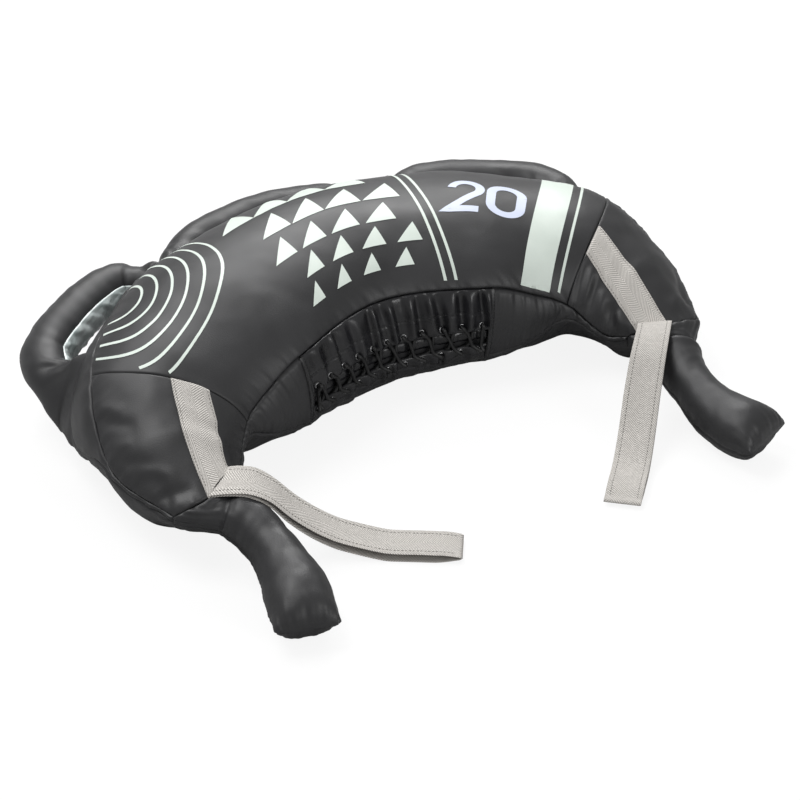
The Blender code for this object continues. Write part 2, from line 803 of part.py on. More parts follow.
def make_handles(materials, group):
    for name, rows, side in (("left", SIDE_HANDLE_SHARES, -1), ("middle", MIDDLE_HANDLE_SHARES, 1),
                             ("right", SIDE_HANDLE_SHARES, 1)):
        points = handle_points(rows, side)
        rings = turned_out(handle_rings(points))
        pivot = bpy.data.objects.new(f"{name}_handle_pivot", None)
        pivot.location = (points[0] + points[-1]) / 2
        group.objects.link(pivot)
        bpy.context.view_layer.update()
        tube = grid_mesh(f"{name}_handle_tube", rings, True, BOTH_ENDS)
        add_object(f"{name}_handle_tube", tube, materials["leather"], group, pivot)
        noses = len(HANDLE_NOSE_ANGLES)
        arc = []
        for ring in rings[noses:-noses]:
            centre = sum(ring, Vector()) / len(ring)
            near = [ring[k] for k in range(-LINING_REACH, LINING_REACH + 1)]
            arc.append([p + (p - centre).normalized() * FIT_GAP * 2 for p in near])
        data = grid_mesh(f"{name}_handle_lining", arc)
        lining = add_object(f"{name}_handle_lining", data, materials["silver"], group, pivot)
        add_thickness(lining, LINING, 1)


def make_sewn_runs(grid, normals, materials, group):
    """The webbing stitched on each end panel, between the print seam and the fold."""
    cols = (WALL_STARTS["top"] + 1, WALL_STARTS["top"] + 3)
    for name, rows in (("left", (0, PRINTED[0])), ("right", (PRINTED[1], len(grid) - 1))):
        lifted = offset_grid(grid, normals, SKIN + FIT_GAP)
        strip = patch(lifted, rows, cols)
        strip = cut_short(strip, WEBBING)
        data = grid_mesh(f"{name}_strap_run", strip)
        run = add_object(f"{name}_strap_run", data, materials["webbing"], group)
        add_thickness(run, WEBBING, 1)


def fold_point(side, shares):
    return Vector((side * shares[0] * BODY_REACH, shares[1] * BODY_DEPTH, FOLD_HEIGHT))


def make_loops(materials, group):
    """A closed band of webbing, lying on the floor at its far end."""
    for name, side, fold_shares, turn, rows in (
            ("left", -1, LEFT_FOLD_SHARES, LEFT_LOOP_HEADING, LEFT_LOOP_SHARES),
            ("right", 1, RIGHT_FOLD_SHARES, RIGHT_LOOP_HEADING, RIGHT_LOOP_SHARES)):
        fold = fold_point(side, fold_shares)
        pivot = bpy.data.objects.new(f"{name}_fold_pivot", None)
        pivot.location = fold
        group.objects.link(pivot)
        bpy.context.view_layer.update()
        ahead = Vector((math.cos(turn), math.sin(turn), 0))
        across = Vector((-math.sin(turn), math.cos(turn), 0))
        line = smooth_path([Vector((x * LOOP_LENGTH, y * FOLD_HEIGHT, 0)) for x, y, _ in rows])
        outline = loop_outline(line, rows)
        data = band_mesh(f"{name}_strap_loop", outline, fold, ahead, across)
        add_object(f"{name}_strap_loop", data, materials["webbing"], group, pivot)


def loop_outline(line, rows):
    """Closed middle line of the band in side view, as pairs of distance and height."""
    count = LOOP_STEPS
    shares = [row[0] for row in rows]
    opens = [row[2] for row in rows]
    upper, lower = [], []
    for i in range(1, count):
        share = i / count
        at = line(share)
        way = path_heading(line, share)
        out = Vector((-way.y, way.x, 0))
        gap = smooth_value(shares, opens, share) * LOOP_OPENING
        half = (WEBBING + FIT_GAP * 2 + max(gap, 0)) / 2
        upper.append(at + out * half)
        lower.append(at - out * half)
    start, end = line(0), line(1)
    points = [start] + upper + [end] + list(reversed(lower))
    lowest = WEBBING / 2
    for point in points:
        point.y = max(point.y, lowest)
    return points


def band_mesh(name, outline, fold, ahead, across):
    """Webbing that follows a closed outline: two nested loops of points, as wide as the webbing."""
    count = len(outline)
    mesh = bmesh.new()
    loops = []
    for offset in (WEBBING / 2, -WEBBING / 2):
        for width in (-WEBBING_WIDTH / 2, WEBBING_WIDTH / 2):
            loop = []
            for i, point in enumerate(outline):
                way = (outline[(i + 1) % count] - outline[i - 1]).normalized()
                out = Vector((-way.y, way.x, 0))
                flat = point + out * offset
                place = fold + ahead * flat.x + across * width
                place.z = max(flat.y, 0)
                loop.append(mesh.verts.new(place))
            loops.append(loop)
    outer_a, outer_b, inner_a, inner_b = loops
    for first, second in ((outer_a, outer_b), (outer_b, inner_b), (inner_b, inner_a),
                          (inner_a, outer_a)):
        for i in range(count):
            k = (i + 1) % count
            mesh.faces.new((first[i], first[k], second[k], second[i]))
    bmesh.ops.recalc_face_normals(mesh, faces=mesh.faces)
    data = bpy.data.meshes.new(name)
    mesh.to_mesh(data)
    mesh.free()
    return data


def settle_origin(parts):
    """Moves everything so that the origin lies under the middle of the bag."""
    front = front_reach()
    shift = Vector((0, -(BACK_REACH + front) / 2, 0))
    for thing in parts.objects:
        if thing.parent is None:
            thing.location += shift
    bpy.context.view_layer.update()
    return shift


def front_reach():
    """How far forward the horn tips lie, before the origin is settled."""
    grid = [section(LINES[0])[0], section(LINES[-1])[0]]
    return min(p.y for ring in horn_rings(1, grid, 0, 0) for p in ring)


def main():
    clear_scene()
    parts = new_collection("bulgarian_bag")
    cutters = new_collection("cutters")
    materials = {
        "leather": finish("charcoal_leather", (.040, .040, .042), .40),
        "felt": finish("padding_felt", (.50, .48, .44), .95),
        "canvas": finish("filler_canvas", (.30, .28, .24), .9),
        "steel": finish("blackened_steel", (.10, .10, .11), .35, 1.0),
        "lace": finish("black_lace", (.012, .012, .013), .7),
        "webbing": finish("grey_webbing", (.60, .56, .52), .85),
        "silver": finish("silver_lining", (.42, .49, .48), .45),
    }
    grid = body_grid()
    normals = grid_normals(grid, True)
    make_shell(grid, materials, parts)
    make_filling(grid, normals, materials, parts)
    make_lacing(grid, materials, parts, cutters)
    make_horns(grid, materials, parts)
    make_handles(materials, parts)
    make_sewn_runs(grid, normals, materials, parts)
    make_loops(materials, parts)
    for cutter in cutters.objects:
        cutter.parent = parts.objects["outer_gusset"]
    settle_origin(parts)


main()
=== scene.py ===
# %% [markdown]
# This notebook dresses a bulgarian bag: a crescent of leatherette filled with sand, with two
# stuffed horns to grip, three padded handles on its back and two webbing straps.
# The solids from the imported model are the frame. Every visible piece is made again here as a fine
# mesh on the same measures and hides the solid; the pieces on the shell ride on one empty for the bag.

# %% Load the frame
import json
import math

import bmesh
import bpy
import numpy as np
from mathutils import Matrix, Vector, noise


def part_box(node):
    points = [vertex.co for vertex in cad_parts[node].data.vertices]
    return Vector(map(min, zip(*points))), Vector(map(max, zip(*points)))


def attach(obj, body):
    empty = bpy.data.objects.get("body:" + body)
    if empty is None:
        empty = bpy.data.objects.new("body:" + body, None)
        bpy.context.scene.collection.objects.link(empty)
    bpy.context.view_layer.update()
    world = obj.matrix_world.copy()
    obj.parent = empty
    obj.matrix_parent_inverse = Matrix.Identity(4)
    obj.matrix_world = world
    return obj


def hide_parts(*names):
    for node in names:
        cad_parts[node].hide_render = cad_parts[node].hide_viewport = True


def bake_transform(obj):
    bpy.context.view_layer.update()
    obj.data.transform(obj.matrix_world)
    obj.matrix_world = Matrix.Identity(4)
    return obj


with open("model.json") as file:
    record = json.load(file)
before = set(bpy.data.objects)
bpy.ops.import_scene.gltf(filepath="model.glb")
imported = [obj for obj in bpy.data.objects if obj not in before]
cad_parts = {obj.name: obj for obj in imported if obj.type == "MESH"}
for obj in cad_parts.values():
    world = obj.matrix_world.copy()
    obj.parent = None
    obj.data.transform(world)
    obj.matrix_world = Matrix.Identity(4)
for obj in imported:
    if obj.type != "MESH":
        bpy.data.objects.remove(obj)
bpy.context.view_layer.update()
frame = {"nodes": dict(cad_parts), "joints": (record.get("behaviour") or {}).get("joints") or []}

# %% [markdown]
# The camera comes first. A product photograph like this one is taken from well above with a long
# lens, so the bag hardly tapers with distance. The camera is placed on a sphere round its target,
# because an azimuth, an elevation and a distance are easier to judge than three coordinates.

# %% Camera
CAMERA_TARGET = Vector((-.048, -.1083, .087))
CAMERA_AZIMUTH = math.radians(-32.3)
CAMERA_ELEVATION = math.radians(36.0)
CAMERA_DISTANCE = 2.8
CAMERA_LENS = 117.63


def place_camera():
    level = math.cos(CAMERA_ELEVATION)
    away = Vector((math.sin(CAMERA_AZIMUTH) * level, -math.cos(CAMERA_AZIMUTH) * level,
                   math.sin(CAMERA_ELEVATION)))
    data = bpy.data.cameras.new("photo_camera")
    data.lens = CAMERA_LENS
    camera = bpy.data.objects.new("photo_camera", data)
    camera.location = CAMERA_TARGET + away * CAMERA_DISTANCE
    camera.rotation_euler = (-away).to_track_quat("-Z", "Y").to_euler()
    bpy.context.scene.collection.objects.link(camera)
    bpy.context.scene.camera = camera
    return camera


print("camera at", [round(v, 3) for v in place_camera().location])

# %% [markdown]
# The shell is a loft: four long seams run from horn to horn, and a padded wall swells between each
# two of them. The seams are given at six stations of the right half and mirrored. Reading them
# with one smooth curve gives as many cross sections as a fine mesh needs.

# %% Sizes of the shell
BODY_REACH = 0.363
BODY_DEPTH = 0.320
BODY_HEIGHT = 0.132
SKIN = 0.0012
# Six stations from the middle to a horn's root, as shares of the reach, the depth and the height
SEAM_SHARES = {
    "inner_top": ((0, .288, .970), (.342, .166, .940), (.460, .128, .818),
                  (.570, .075, .667), (.650, -.030, .430), (.689, -.107, .475)),
    "outer_top": ((0, 1, .992), (.485, .875, .992), (.711, .694, 1),
                  (.917, .409, .992), (.999, .104, .595), (.928, -.158, .490)),
}
# How far each lower seam lies from the upper seam above it
DROP_SHARES = {
    "inner_bottom": ((0, -.048, -.743), (-.020, -.007, -.670), (-.005, -.028, -.428),
                     (.006, -.012, -.120), (0, 0, -.040), (0, 0, -.040)),
    "outer_bottom": ((0, .020, -.750), (.033, .031, -.734), (.060, .025, -.712),
                     (.050, .029, -.628), (0, 0, -.040), (0, 0, -.040)),
}
SWELL_SHARES = {
    "top": (.41, .39, .36, .33, .40, .12), "inner": (.07, .07, .06, .02, .005, .005),
    "bottom": (.32, .32, .34, .40, .42, .20), "outer": (.10, .10, .10, .09, .005, .005),
}
FULLNESS = 0.72
# The sand pushes the middle of each root seam forward over the horn
ROOT_BOW = 0.016
ROOT_BOW_REACH = 0.06
# The seams at the ends of the print bow the same way
PRINT_BOW = 0.016
PRINT_BOW_REACH = 0.05
LACING_END, PRINT_SEAM = 1, 3
HANDLE_BACK = BODY_DEPTH * 1.192
HANDLE_RADIUS = 0.0275
# The frame's origin lies under the middle of the bag, so the seams are moved by this much
SHIFT = Vector((0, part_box("middle_handle_tube")[1].y - HANDLE_BACK - HANDLE_RADIUS, 0))
UP = Vector((0, 0, 1))
SIDES = ((-1, "left"), (1, "right"))


def hermite(knots, values, at, slope):
    """Reads a curve through numbers or vectors; slope gives its slope at a knot."""
    k = max(i for i in range(len(knots) - 1) if knots[i] <= at or i == 0)
    span = knots[k + 1] - knots[k]
    u = (at - knots[k]) / span
    a = 2 * u ** 3 - 3 * u ** 2 + 1
    b = u ** 3 - 2 * u ** 2 + u
    c = 3 * u ** 2 - 2 * u ** 3
    d = u ** 3 - u ** 2
    return values[k] * a + slope(k) * (span * b) + values[k + 1] * c + slope(k + 1) * (span * d)


def smooth_value(knots, values, at):
    """Reads a smooth curve."""
    def slope(i):
        low, high = max(i - 1, 0), min(i + 1, len(knots) - 1)
        return (values[high] - values[low]) / (knots[high] - knots[low])

    return hermite(knots, values, at, slope)


def steady_value(knots, values, at):
    """Reads a curve through numbers that never overshoots them."""
    last = len(knots) - 1
    rises = [(values[i + 1] - values[i]) / (knots[i + 1] - knots[i]) for i in range(last)]

    def slope(i):
        before, after = rises[max(i - 1, 0)], rises[min(i, last - 1)]
        return 0 if before * after <= 0 else 2 * before * after / (before + after)

    return hermite(knots, values, at, slope)


def distances(points):
    """How far along a line each of its points lies."""
    run = [0.0]
    for a, b in zip(points, points[1:]):
        run.append(run[-1] + (b - a).length)
    return run


def mirror_points(rows):
    points = [Vector((x * BODY_REACH, y * BODY_DEPTH, z * BODY_HEIGHT)) for x, y, z in rows]
    return [Vector((-p.x, p.y, p.z)) for p in reversed(points[1:])] + points


SEAMS = {name: mirror_points(rows) for name, rows in SEAM_SHARES.items()}
DROPS = {name: mirror_points(rows) for name, rows in DROP_SHARES.items()}
SWELLS = {name: row[:0:-1] + row for name, row in SWELL_SHARES.items()}
WALLS = {"top": ("inner_top", "outer_top"), "outer": ("outer_top", "outer_bottom"),
         "bottom": ("outer_bottom", "inner_bottom"), "inner": ("inner_bottom", "inner_top")}
MIDDLE_KNOT = len(SEAM_SHARES["inner_top"]) - 1
middle_line = [(a + b) / 2 for a, b in zip(SEAMS["inner_top"], SEAMS["outer_top"])]
right_knots = distances(middle_line[MIDDLE_KNOT:])
# Places of the stations along the bag, negative on the left
KNOTS = [-p for p in reversed(right_knots[1:])] + right_knots
print("half the bag is", round(KNOTS[-1], 3), "m along its middle line")

# %% [markdown]
# Each wall can now be read anywhere. A place on the shell is a distance along the bag, negative on
# the left, and a share of the way from the wall's first seam to its second.

# %% Read a wall of the shell


def seam(name, at):
    if name in SEAMS:
        return smooth_value(KNOTS, SEAMS[name], at)
    drop = [steady_value(KNOTS, [row[axis] for row in DROPS[name]], at) for axis in range(3)]
    return seam(name.replace("bottom", "top"), at) + Vector(drop)


def heading(at):
    """Level direction along the crescent, towards the right-hand horn."""
    step = BODY_REACH / 200
    low = max(at - step, KNOTS[0])
    high = min(at + step, KNOTS[-1])
    way = seam("inner_top", high) + seam("outer_top", high) - seam("inner_top", low) - seam("outer_top", low)
    way.z = 0
    return way.normalized()


def wall_frame(wall, at):
    """Start, chord, swell vector and forward push of a wall's cross section."""
    first, second = (seam(name, at) for name in WALLS[wall])
    chord = second - first
    ahead = heading(at)
    out = ahead.cross(chord).normalized()
    swell = out * (steady_value(KNOTS, SWELLS[wall], at) * BODY_HEIGHT)
    near_root = max(abs(at) - KNOTS[-1] + ROOT_BOW_REACH, 0) / ROOT_BOW_REACH
    if wall == "top":
        swell += ahead * (math.copysign(ROOT_BOW, at) * near_root ** 2)
    return first, chord, swell


def wall_row(wall, at, shares):
    """Points on the inside face of a wall at one place along the bag."""
    bend = math.exp(-((abs(at) - KNOTS[MIDDLE_KNOT + PRINT_SEAM]) / PRINT_BOW_REACH) ** 2)
    bend *= math.copysign(PRINT_BOW, at) if wall == "top" else 0
    first, chord, swell = wall_frame(wall, at)
    row = []
    for share in shares:
        bow = max(4 * share * (1 - share), 0) ** FULLNESS
        if abs(bend) > .0001:
            first, chord, swell = wall_frame(wall, at + bend * bow)
        point = first + chord * share + swell * bow
        point.z = max(point.z, SKIN)
        row.append(point + SHIFT)
    return row


def section_middle(at):
    return sum((seam(name, at) for name in (*SEAMS, *DROPS)), Vector()) / 4 + SHIFT


ROOT = KNOTS[-1]
PRINT_END = KNOTS[MIDDLE_KNOT + PRINT_SEAM]
LACED_END = KNOTS[MIDDLE_KNOT + LACING_END]
print("print seam at", round(PRINT_END, 3), "lacing ends at", round(LACED_END, 3))

# %% [markdown]
# Relief turns the smooth loft into sewn leatherette. Four kinds are enough: billows from the sand
# inside, puckers along the seams, single creases laid where the photograph shows them, and the
# groove where a seam pulls two panels in. All are heights along the surface's normal, in metres,
# so they can simply be added up.

# %% Relief helpers


def waves(x, seed):
    """Uneven waves between about -1 and 1, without a random number."""
    return (np.sin(x + seed) + .6 * np.sin(2.31 * x + 1.7 * seed) + .45 * np.sin(4.13 * x + 2.9 * seed)
            + .3 * np.sin(.43 * x + 5.1 * seed)) / 1.7


def billows(points, size, seed):
    """Soft noise over the points, about as coarse as size."""
    offset = Vector((seed * 7.3, seed * 3.1, seed * 5.7))
    flat = points.reshape(-1, 3)
    values = [noise.noise(Vector(p) / size + offset) for p in flat]
    return np.array(values).reshape(points.shape[:-1])


def rolls(points, *layers):
    """Billows added up; each layer is a height, a size and a seed."""
    return sum(height * billows(points, size, seed) for height, size, seed in layers)


def crease(points, start, end, width, height, fade="both"):
    """A long ridge, or a valley if height is negative, between two places."""
    start, end = np.array(start), np.array(end)
    way = end - start
    t = np.clip(((points - start) @ way) / (way @ way), 0, 1)
    gap = np.linalg.norm(points - (start + t[..., None] * way), axis=-1)
    along = np.sin(np.pi * t) if fade == "both" else (1 - t) ** .8
    return height * np.exp(-(gap / width) ** 2) * along


def puckers(along, away, size, depth, reach, seed):
    """Short waves that cross a seam and die out away from it."""
    x = away / reach
    return depth * waves(along / size, seed) * x * np.exp(1 - x)


def smoothstep(value, low=0.0, high=1.0):
    x = np.clip((value - low) / (high - low), 0, 1)
    return x * x * (3 - 2 * x)


def normals_of(points, closed=False):
    """Outward normals of a grid of points whose columns run clockwise round the rows' heading."""
    if closed:
        wrapped = np.concatenate([points[:, -1:], points, points[:, :1]], axis=1)
        across = wrapped[:, 2:] - wrapped[:, :-2]
    else:
        across = np.gradient(points, axis=1)
    along = np.gradient(points, axis=0)
    out = np.cross(along, across)
    return out / np.maximum(np.linalg.norm(out, axis=-1, keepdims=True), 1e-12)


def running_length(points, axis):
    """Distance travelled along one axis of a grid of points."""
    steps = np.linalg.norm(np.diff(points, axis=axis), axis=-1)
    zero = np.zeros_like(np.take(steps, [0], axis=axis))
    return np.concatenate([zero, np.cumsum(steps, axis=axis)], axis=axis)


print("relief helpers ready")

# %% [markdown]
# A panel is a grid of points on a wall. The grid gets extra rows close to its edges, because the
# groove at a seam is only a few millimetres wide, and its edge is pulled in to a line that it
# shares with its neighbour. So the panels meet without gaps and the seam reads as a dark line.

# %% Build a mesh from a grid
SEAM_DEPTH = 0.0012
SEAM_ROLL = 0.0007
EDGE_STEPS = (0, .0007, .0015, .0025, .0040, .0060)


def spread(length, step):
    """Shares of a length, with close steps near both ends."""
    edge = [s / length for s in EDGE_STEPS if s < length * .3]
    inner = max(round((1 - 2 * edge[-1]) * length / step), 2)
    middle = [edge[-1] + (1 - 2 * edge[-1]) * i / inner for i in range(1, inner)]
    return edge + middle + [1 - e for e in reversed(edge)]


def mesh_from_grids(name, grids, closed=False, capped=False, uv=None):
    """One smooth mesh through grids of points, joined up across the rows if closed."""
    points, faces = [], []
    for grid in grids:
        rows, cols = grid.shape[:2]
        first, last = len(points), len(points) + (rows - 1) * cols
        points += [tuple(p) for p in grid.reshape(-1, 3)]
        for start in range(first, last, cols):
            for j in range(cols if closed else cols - 1):
                a, b = start + j, start + (j + 1) % cols
                faces.append((a, a + cols, b + cols, b))
        if capped:
            faces += [tuple(range(first, first + cols)), tuple(reversed(range(last, last + cols)))]
    data = bpy.data.meshes.new(name)
    data.from_pydata(points, [], faces)
    if uv is not None:
        layer = data.uv_layers.new(name="cloth")
        flat = np.reshape(uv, (-1, 2))
        for loop in data.loops:
            layer.data[loop.index].uv = flat[loop.vertex_index]
    data.shade_smooth()
    return data


def mesh_from_grid(name, grid, **settings):
    return mesh_from_grids(name, [np.array(grid, float)], **settings)


def face_outward(data, weld=0):
    """Turns a mesh's faces the right way out, and joins points that are nearer than weld."""
    mesh = bmesh.new()
    mesh.from_mesh(data)
    if weld:
        bmesh.ops.remove_doubles(mesh, verts=mesh.verts, dist=weld)
    bmesh.ops.recalc_face_normals(mesh, faces=mesh.faces)
    mesh.to_mesh(data)
    mesh.free()
    data.shade_smooth()
    return data


def add_piece(name, data, body, material, replaced=()):
    """Links a mesh, gives it its finish, and lets it ride on its body."""
    piece = bpy.data.objects.new(name, data)
    bpy.context.scene.collection.objects.link(piece)
    data.materials.append(material)
    if body:
        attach(piece, body)
    if replaced:
        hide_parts(*replaced)
    return piece


print("mesh helpers ready")

# %% [markdown]
# Materials. The leatherette is a satin polyurethane skin: nearly black, with a fine grain that
# breaks up the highlights. Several finishes use its grain, so it is a node group. The group gives
# out only a height and a tone, and the shader stays in each material, so that an exporter can
# read both.

# %% Node helpers


def new_group(name, inputs, outputs):
    """A node group with named sockets, and its input and output nodes."""
    group = bpy.data.node_groups.new(name, "ShaderNodeTree")
    for label, kind, default in inputs:
        socket = group.interface.new_socket(label, in_out="INPUT", socket_type=kind)
        socket.default_value = default
    for label, kind in outputs:
        group.interface.new_socket(label, in_out="OUTPUT", socket_type=kind)
    return group, group.nodes.new("NodeGroupInput"), group.nodes.new("NodeGroupOutput")


def node(tree, kind, links=(), **settings):
    """Adds a node, sets its properties or input values, and links its inputs."""
    made = tree.nodes.new(kind)
    for key, value in settings.items():
        if hasattr(made, key):
            setattr(made, key, value)
        else:
            made.inputs[key.replace("_", " ")].default_value = value
    for label, source in links:
        tree.links.new(source, made.inputs[label])
    return made


def math_node(tree, operation, a, b=None):
    """One Math node; each operand is a socket or a number."""
    made = tree.nodes.new("ShaderNodeMath")
    made.operation = operation
    for i, operand in enumerate((a, b)):
        if operand is None:
            continue
        if isinstance(operand, (int, float)):
            made.inputs[i].default_value = operand
        else:
            tree.links.new(operand, made.inputs[i])
    return made.outputs[0]


def ramp(tree, source, stops, target=None):
    """A colour ramp: stops are pairs of place and colour or grey level."""
    made = node(tree, "ShaderNodeValToRGB", (("Fac", source),))
    points = made.color_ramp.elements
    while len(points) < len(stops):
        points.new(0.5)
    for point, (place, tone) in zip(points, stops):
        point.position = place
        point.color = (*tone, 1) if isinstance(tone, tuple) else (tone, tone, tone, 1)
    if target:
        tree.links.new(made.outputs["Color"], target)
    return made.outputs["Color"]


def new_material(name, roughness=.5, metallic=0.0):
    material = bpy.data.materials.new(name)
    material.use_nodes = True
    shader = material.node_tree.nodes["Principled BSDF"]
    shader.inputs["Roughness"].default_value = roughness
    shader.inputs["Metallic"].default_value = metallic
    return material, material.node_tree, shader


def add_bump(tree, shader, height, strength, depth=.0004):
    """Gives a finish a relief that is too fine to be modelled."""
    bump = node(tree, "ShaderNodeBump", (("Height", height),), Strength=strength, Distance=depth)
    tree.links.new(bump.outputs["Normal"], shader.inputs["Normal"])


print("node helpers ready")

# %% Grain group for leatherette


def make_grain_group():
    """Fine pebbles on low swells: a height and a tone, both varying over the skin."""
    inputs = (("Cell Size", "NodeSocketFloat", .0011), ("Mottle Size", "NodeSocketFloat", .05))
    outputs = (("Height", "NodeSocketFloat"), ("Tone", "NodeSocketFloat"))
    group, given, result = new_group("leatherette_grain", inputs, outputs)
    place = node(group, "ShaderNodeTexCoord").outputs["Object"]
    cells = math_node(group, "DIVIDE", 1.0, given.outputs["Cell Size"])
    mottles = math_node(group, "DIVIDE", 1.0, given.outputs["Mottle Size"])
    pebble = node(group, "ShaderNodeTexVoronoi", (("Vector", place), ("Scale", cells)),
                  feature="SMOOTH_F1")
    crumple = node(group, "ShaderNodeTexNoise", (("Vector", place), ("Scale", cells)), Detail=3.0)
    swell = node(group, "ShaderNodeTexNoise", (("Vector", place), ("Scale", mottles)), Detail=4.0)
    half = math_node(group, "MULTIPLY", crumple.outputs["Fac"], .5)
    height = math_node(group, "SUBTRACT", half, pebble.outputs["Distance"])
    group.links.new(height, result.inputs["Height"])
    group.links.new(swell.outputs["Fac"], result.inputs["Tone"])
    return group


GRAIN = make_grain_group()
print("grain group has", len(GRAIN.nodes), "nodes")

# %% Leatherette finishes


def leatherette(name, dark, light, smooth, rough, cell, mottle, bump):
    """A satin coated cloth: its colour and roughness drift between two values."""
    material, tree, shader = new_material(name)
    grain = node(tree, "ShaderNodeGroup", node_tree=GRAIN, Cell_Size=cell, Mottle_Size=mottle)
    tone = grain.outputs["Tone"]
    ramp(tree, tone, ((.35, dark), (.68, light)), shader.inputs["Base Color"])
    ramp(tree, tone, ((.3, smooth), (.7, rough)), shader.inputs["Roughness"])
    add_bump(tree, shader, grain.outputs["Height"], bump)
    return material


CHARCOAL = leatherette("charcoal_leather", (.0135, .0135, .0145), (.0195, .0195, .0210), .43, .54,
                       .0012, .060, .22)
COATED = leatherette("coated_gather_cloth", (.0065, .0065, .0075), (.0110, .0110, .0130), .25, .37,
                     .0010, .030, .18)
PIPING = leatherette("black_binding", (.010, .010, .011), (.015, .015, .016), .34, .44,
                     .0012, .030, .2)
LINING = leatherette("silver_lining", (.56, .64, .63), (.74, .80, .79), .22, .38, .0012, .025, .25)
print("leatherette finishes:", CHARCOAL.name, COATED.name, PIPING.name, LINING.name)

# %% [markdown]
# The skin panels. Each one is a stretch of a wall between two places along the bag. A relief
# function adds what is special to a panel, such as the gathers over the lacing.

# %% Build one skin panel
# A swollen wall is this much longer than the line through three points on it
ARC_SHARE = 1.08
PANELS = {}


def skin_panel(name, wall, low, high, step, relief, span=(0, 1), material=CHARCOAL):
    """A wall's stretch from low to high, over a span of its shares, with its relief."""
    first, last = span
    middle_row = np.array(wall_row(wall, (low + high) / 2, (first, (first + last) / 2, last)))
    across = float(running_length(middle_row, 0)[-1]) * ARC_SHARE
    spots = [low + (high - low) * s for s in spread(high - low, step)]
    shares = [first + (last - first) * s for s in spread(across, step)]
    base = np.array([wall_row(wall, at, shares) for at in spots], float)
    along, down = running_length(base, 0), running_length(base, 1)
    place = {"at": np.array(spots)[:, None] + 0 * down, "share": np.array(shares)[None, :] + 0 * down,
             "along": along, "to_end": along[-1:] - along, "first": down, "last": down[:, -1:] - down}
    height = SKIN + relief(base, place)
    skin = base + normals_of(base) * height[..., None]
    inward = np.array([section_middle(at) for at in spots])[:, None, :] - base
    inward /= np.linalg.norm(inward, axis=-1, keepdims=True)
    gap = np.minimum.reduce([place[edge] for edge in ("first", "last", "along", "to_end")])
    pull = np.exp(-gap / SEAM_ROLL)[..., None]
    skin = skin * (1 - pull) + (base + inward * SEAM_DEPTH) * pull
    skin[..., 2] = np.maximum(skin[..., 2], 0.0)
    data = mesh_from_grid(name, skin, uv=np.stack([place["at"], down], axis=-1))
    add_piece(f"{name}_skin", data, "bag", material, (name,))
    PANELS[name] = {"points": skin, "out": normals_of(skin), "spots": spots, "shares": shares}
    print(name, skin.shape[0], "x", skin.shape[1], "points")


def seam_puckers(place, depth, seed):
    """Puckers along both long seams of a panel."""
    return (puckers(place["along"], place["first"], .0042, depth, .006, seed)
            + puckers(place["along"], place["last"], .0048, depth, .007, seed + 1))


def plain_relief(coarse, fine, pucker, seed):
    """Two layers of rolls, and seam puckers of a height and a seed."""
    return lambda points, place: rolls(points, coarse, fine) + seam_puckers(place, pucker, seed)


def skin_place(name, at, share):
    """A point on a finished panel, and the outward normal there."""
    panel = PANELS[name]
    i = float(np.interp(at, panel["spots"], range(len(panel["spots"]))))
    j = float(np.interp(share, panel["shares"], range(len(panel["shares"]))))
    result = []
    for grid in (panel["points"], panel["out"]):
        low = grid[int(i)] + (grid[min(int(i) + 1, len(grid) - 1)] - grid[int(i)]) * (i - int(i))
        k = min(int(j) + 1, len(low) - 1)
        result.append(Vector(low[int(j)] + (low[k] - low[int(j)]) * (j - int(j))))
    return result[0], result[1].normalized()


print("panel builder ready")

# %% [markdown]
# The printed top is filled tight, so it only has shallow billows and short puckers at its seams.

# %% Top panel
skin_panel("top_print_panel", "top", -PRINT_END, PRINT_END, .0030,
           plain_relief((.0016, .075, 1), (.0005, .022, 2), .0007, 3))

# %% [markdown]
# The end panels, the gusset and the underside are looser. Their creases fan out from the corners
# where several seams meet, so one helper makes a fan from a corner.

# %% Creases on the end panels
FOLD_WIDTH = 0.0068


def on_wall(wall, at, share):
    return wall_row(wall, at, (share,))[0]


def fan(points, corner, at, shares, reach, width, height):
    """Creases that spread from a corner to several shares of the top, deep at the corner."""
    total = np.zeros(points.shape[:-1])
    for k, share in enumerate(shares):
        tip = corner + (on_wall("top", at, share) - corner) * reach
        total += crease(points, corner, tip, width, height * (1 if k % 2 else -1), "end")
    return total


# Slack folds on the end panels: from a place to a place, and height
SLACK_FOLDS = {
    -1: ((.338, .99, .350, .84, .0016), (.350, .99, .372, .79, -.0022), (.374, .98, .386, .84, .0015),
         (.386, .98, .412, .80, -.0016), (.429, .97, .436, .66, -.0036), (.402, .92, .426, .72, .0014)),
    1: ((.311, .29, .324, .03, -.0046), (.325, .27, .338, .03, .0046), (.344, .24, .352, .03, -.0032),
        (.364, .19, .376, .03, .0034), (.384, .15, .408, .03, -.0034), (.400, .12, .430, .03, .0032),
        (.395, .95, .436, .86, -.0026), (.425, .80, .436, .62, .0026)),
}


def end_relief(side):
    """Looser leatherette round a horn's root, on the left if side is negative."""
    plain = plain_relief((.0017, .060, 5 + side), (.0007, .020, 8 + side), .0009, 6 + side)

    def relief(points, place):
        root, far = side * ROOT, side * PRINT_END
        folds = fan(points, on_wall("top", root, .97), far, (.9, .62), .34, .0070, .0022)
        folds += fan(points, on_wall("top", root, .03), far, (.08, .3), .36, .0065, .0024)
        for at, share, far_at, far_share, height in SLACK_FOLDS[side]:
            folds += crease(points, on_wall("top", side * at, share),
                            on_wall("top", side * far_at, far_share), FOLD_WIDTH, height)
        near_root = place["along"] if side < 0 else place["to_end"]
        pleats = .0011 * waves(place["first"] / .0065, 4.0 + side) * np.exp(-near_root / .010)
        return plain(points, place) + folds + pleats

    return relief


for side, name in SIDES:
    low, high = sorted((side * PRINT_END, side * ROOT))
    skin_panel(f"{name}_end_panel", "top", low, high, .0024, end_relief(side))

# %% Gusset, underside and plain inner panels


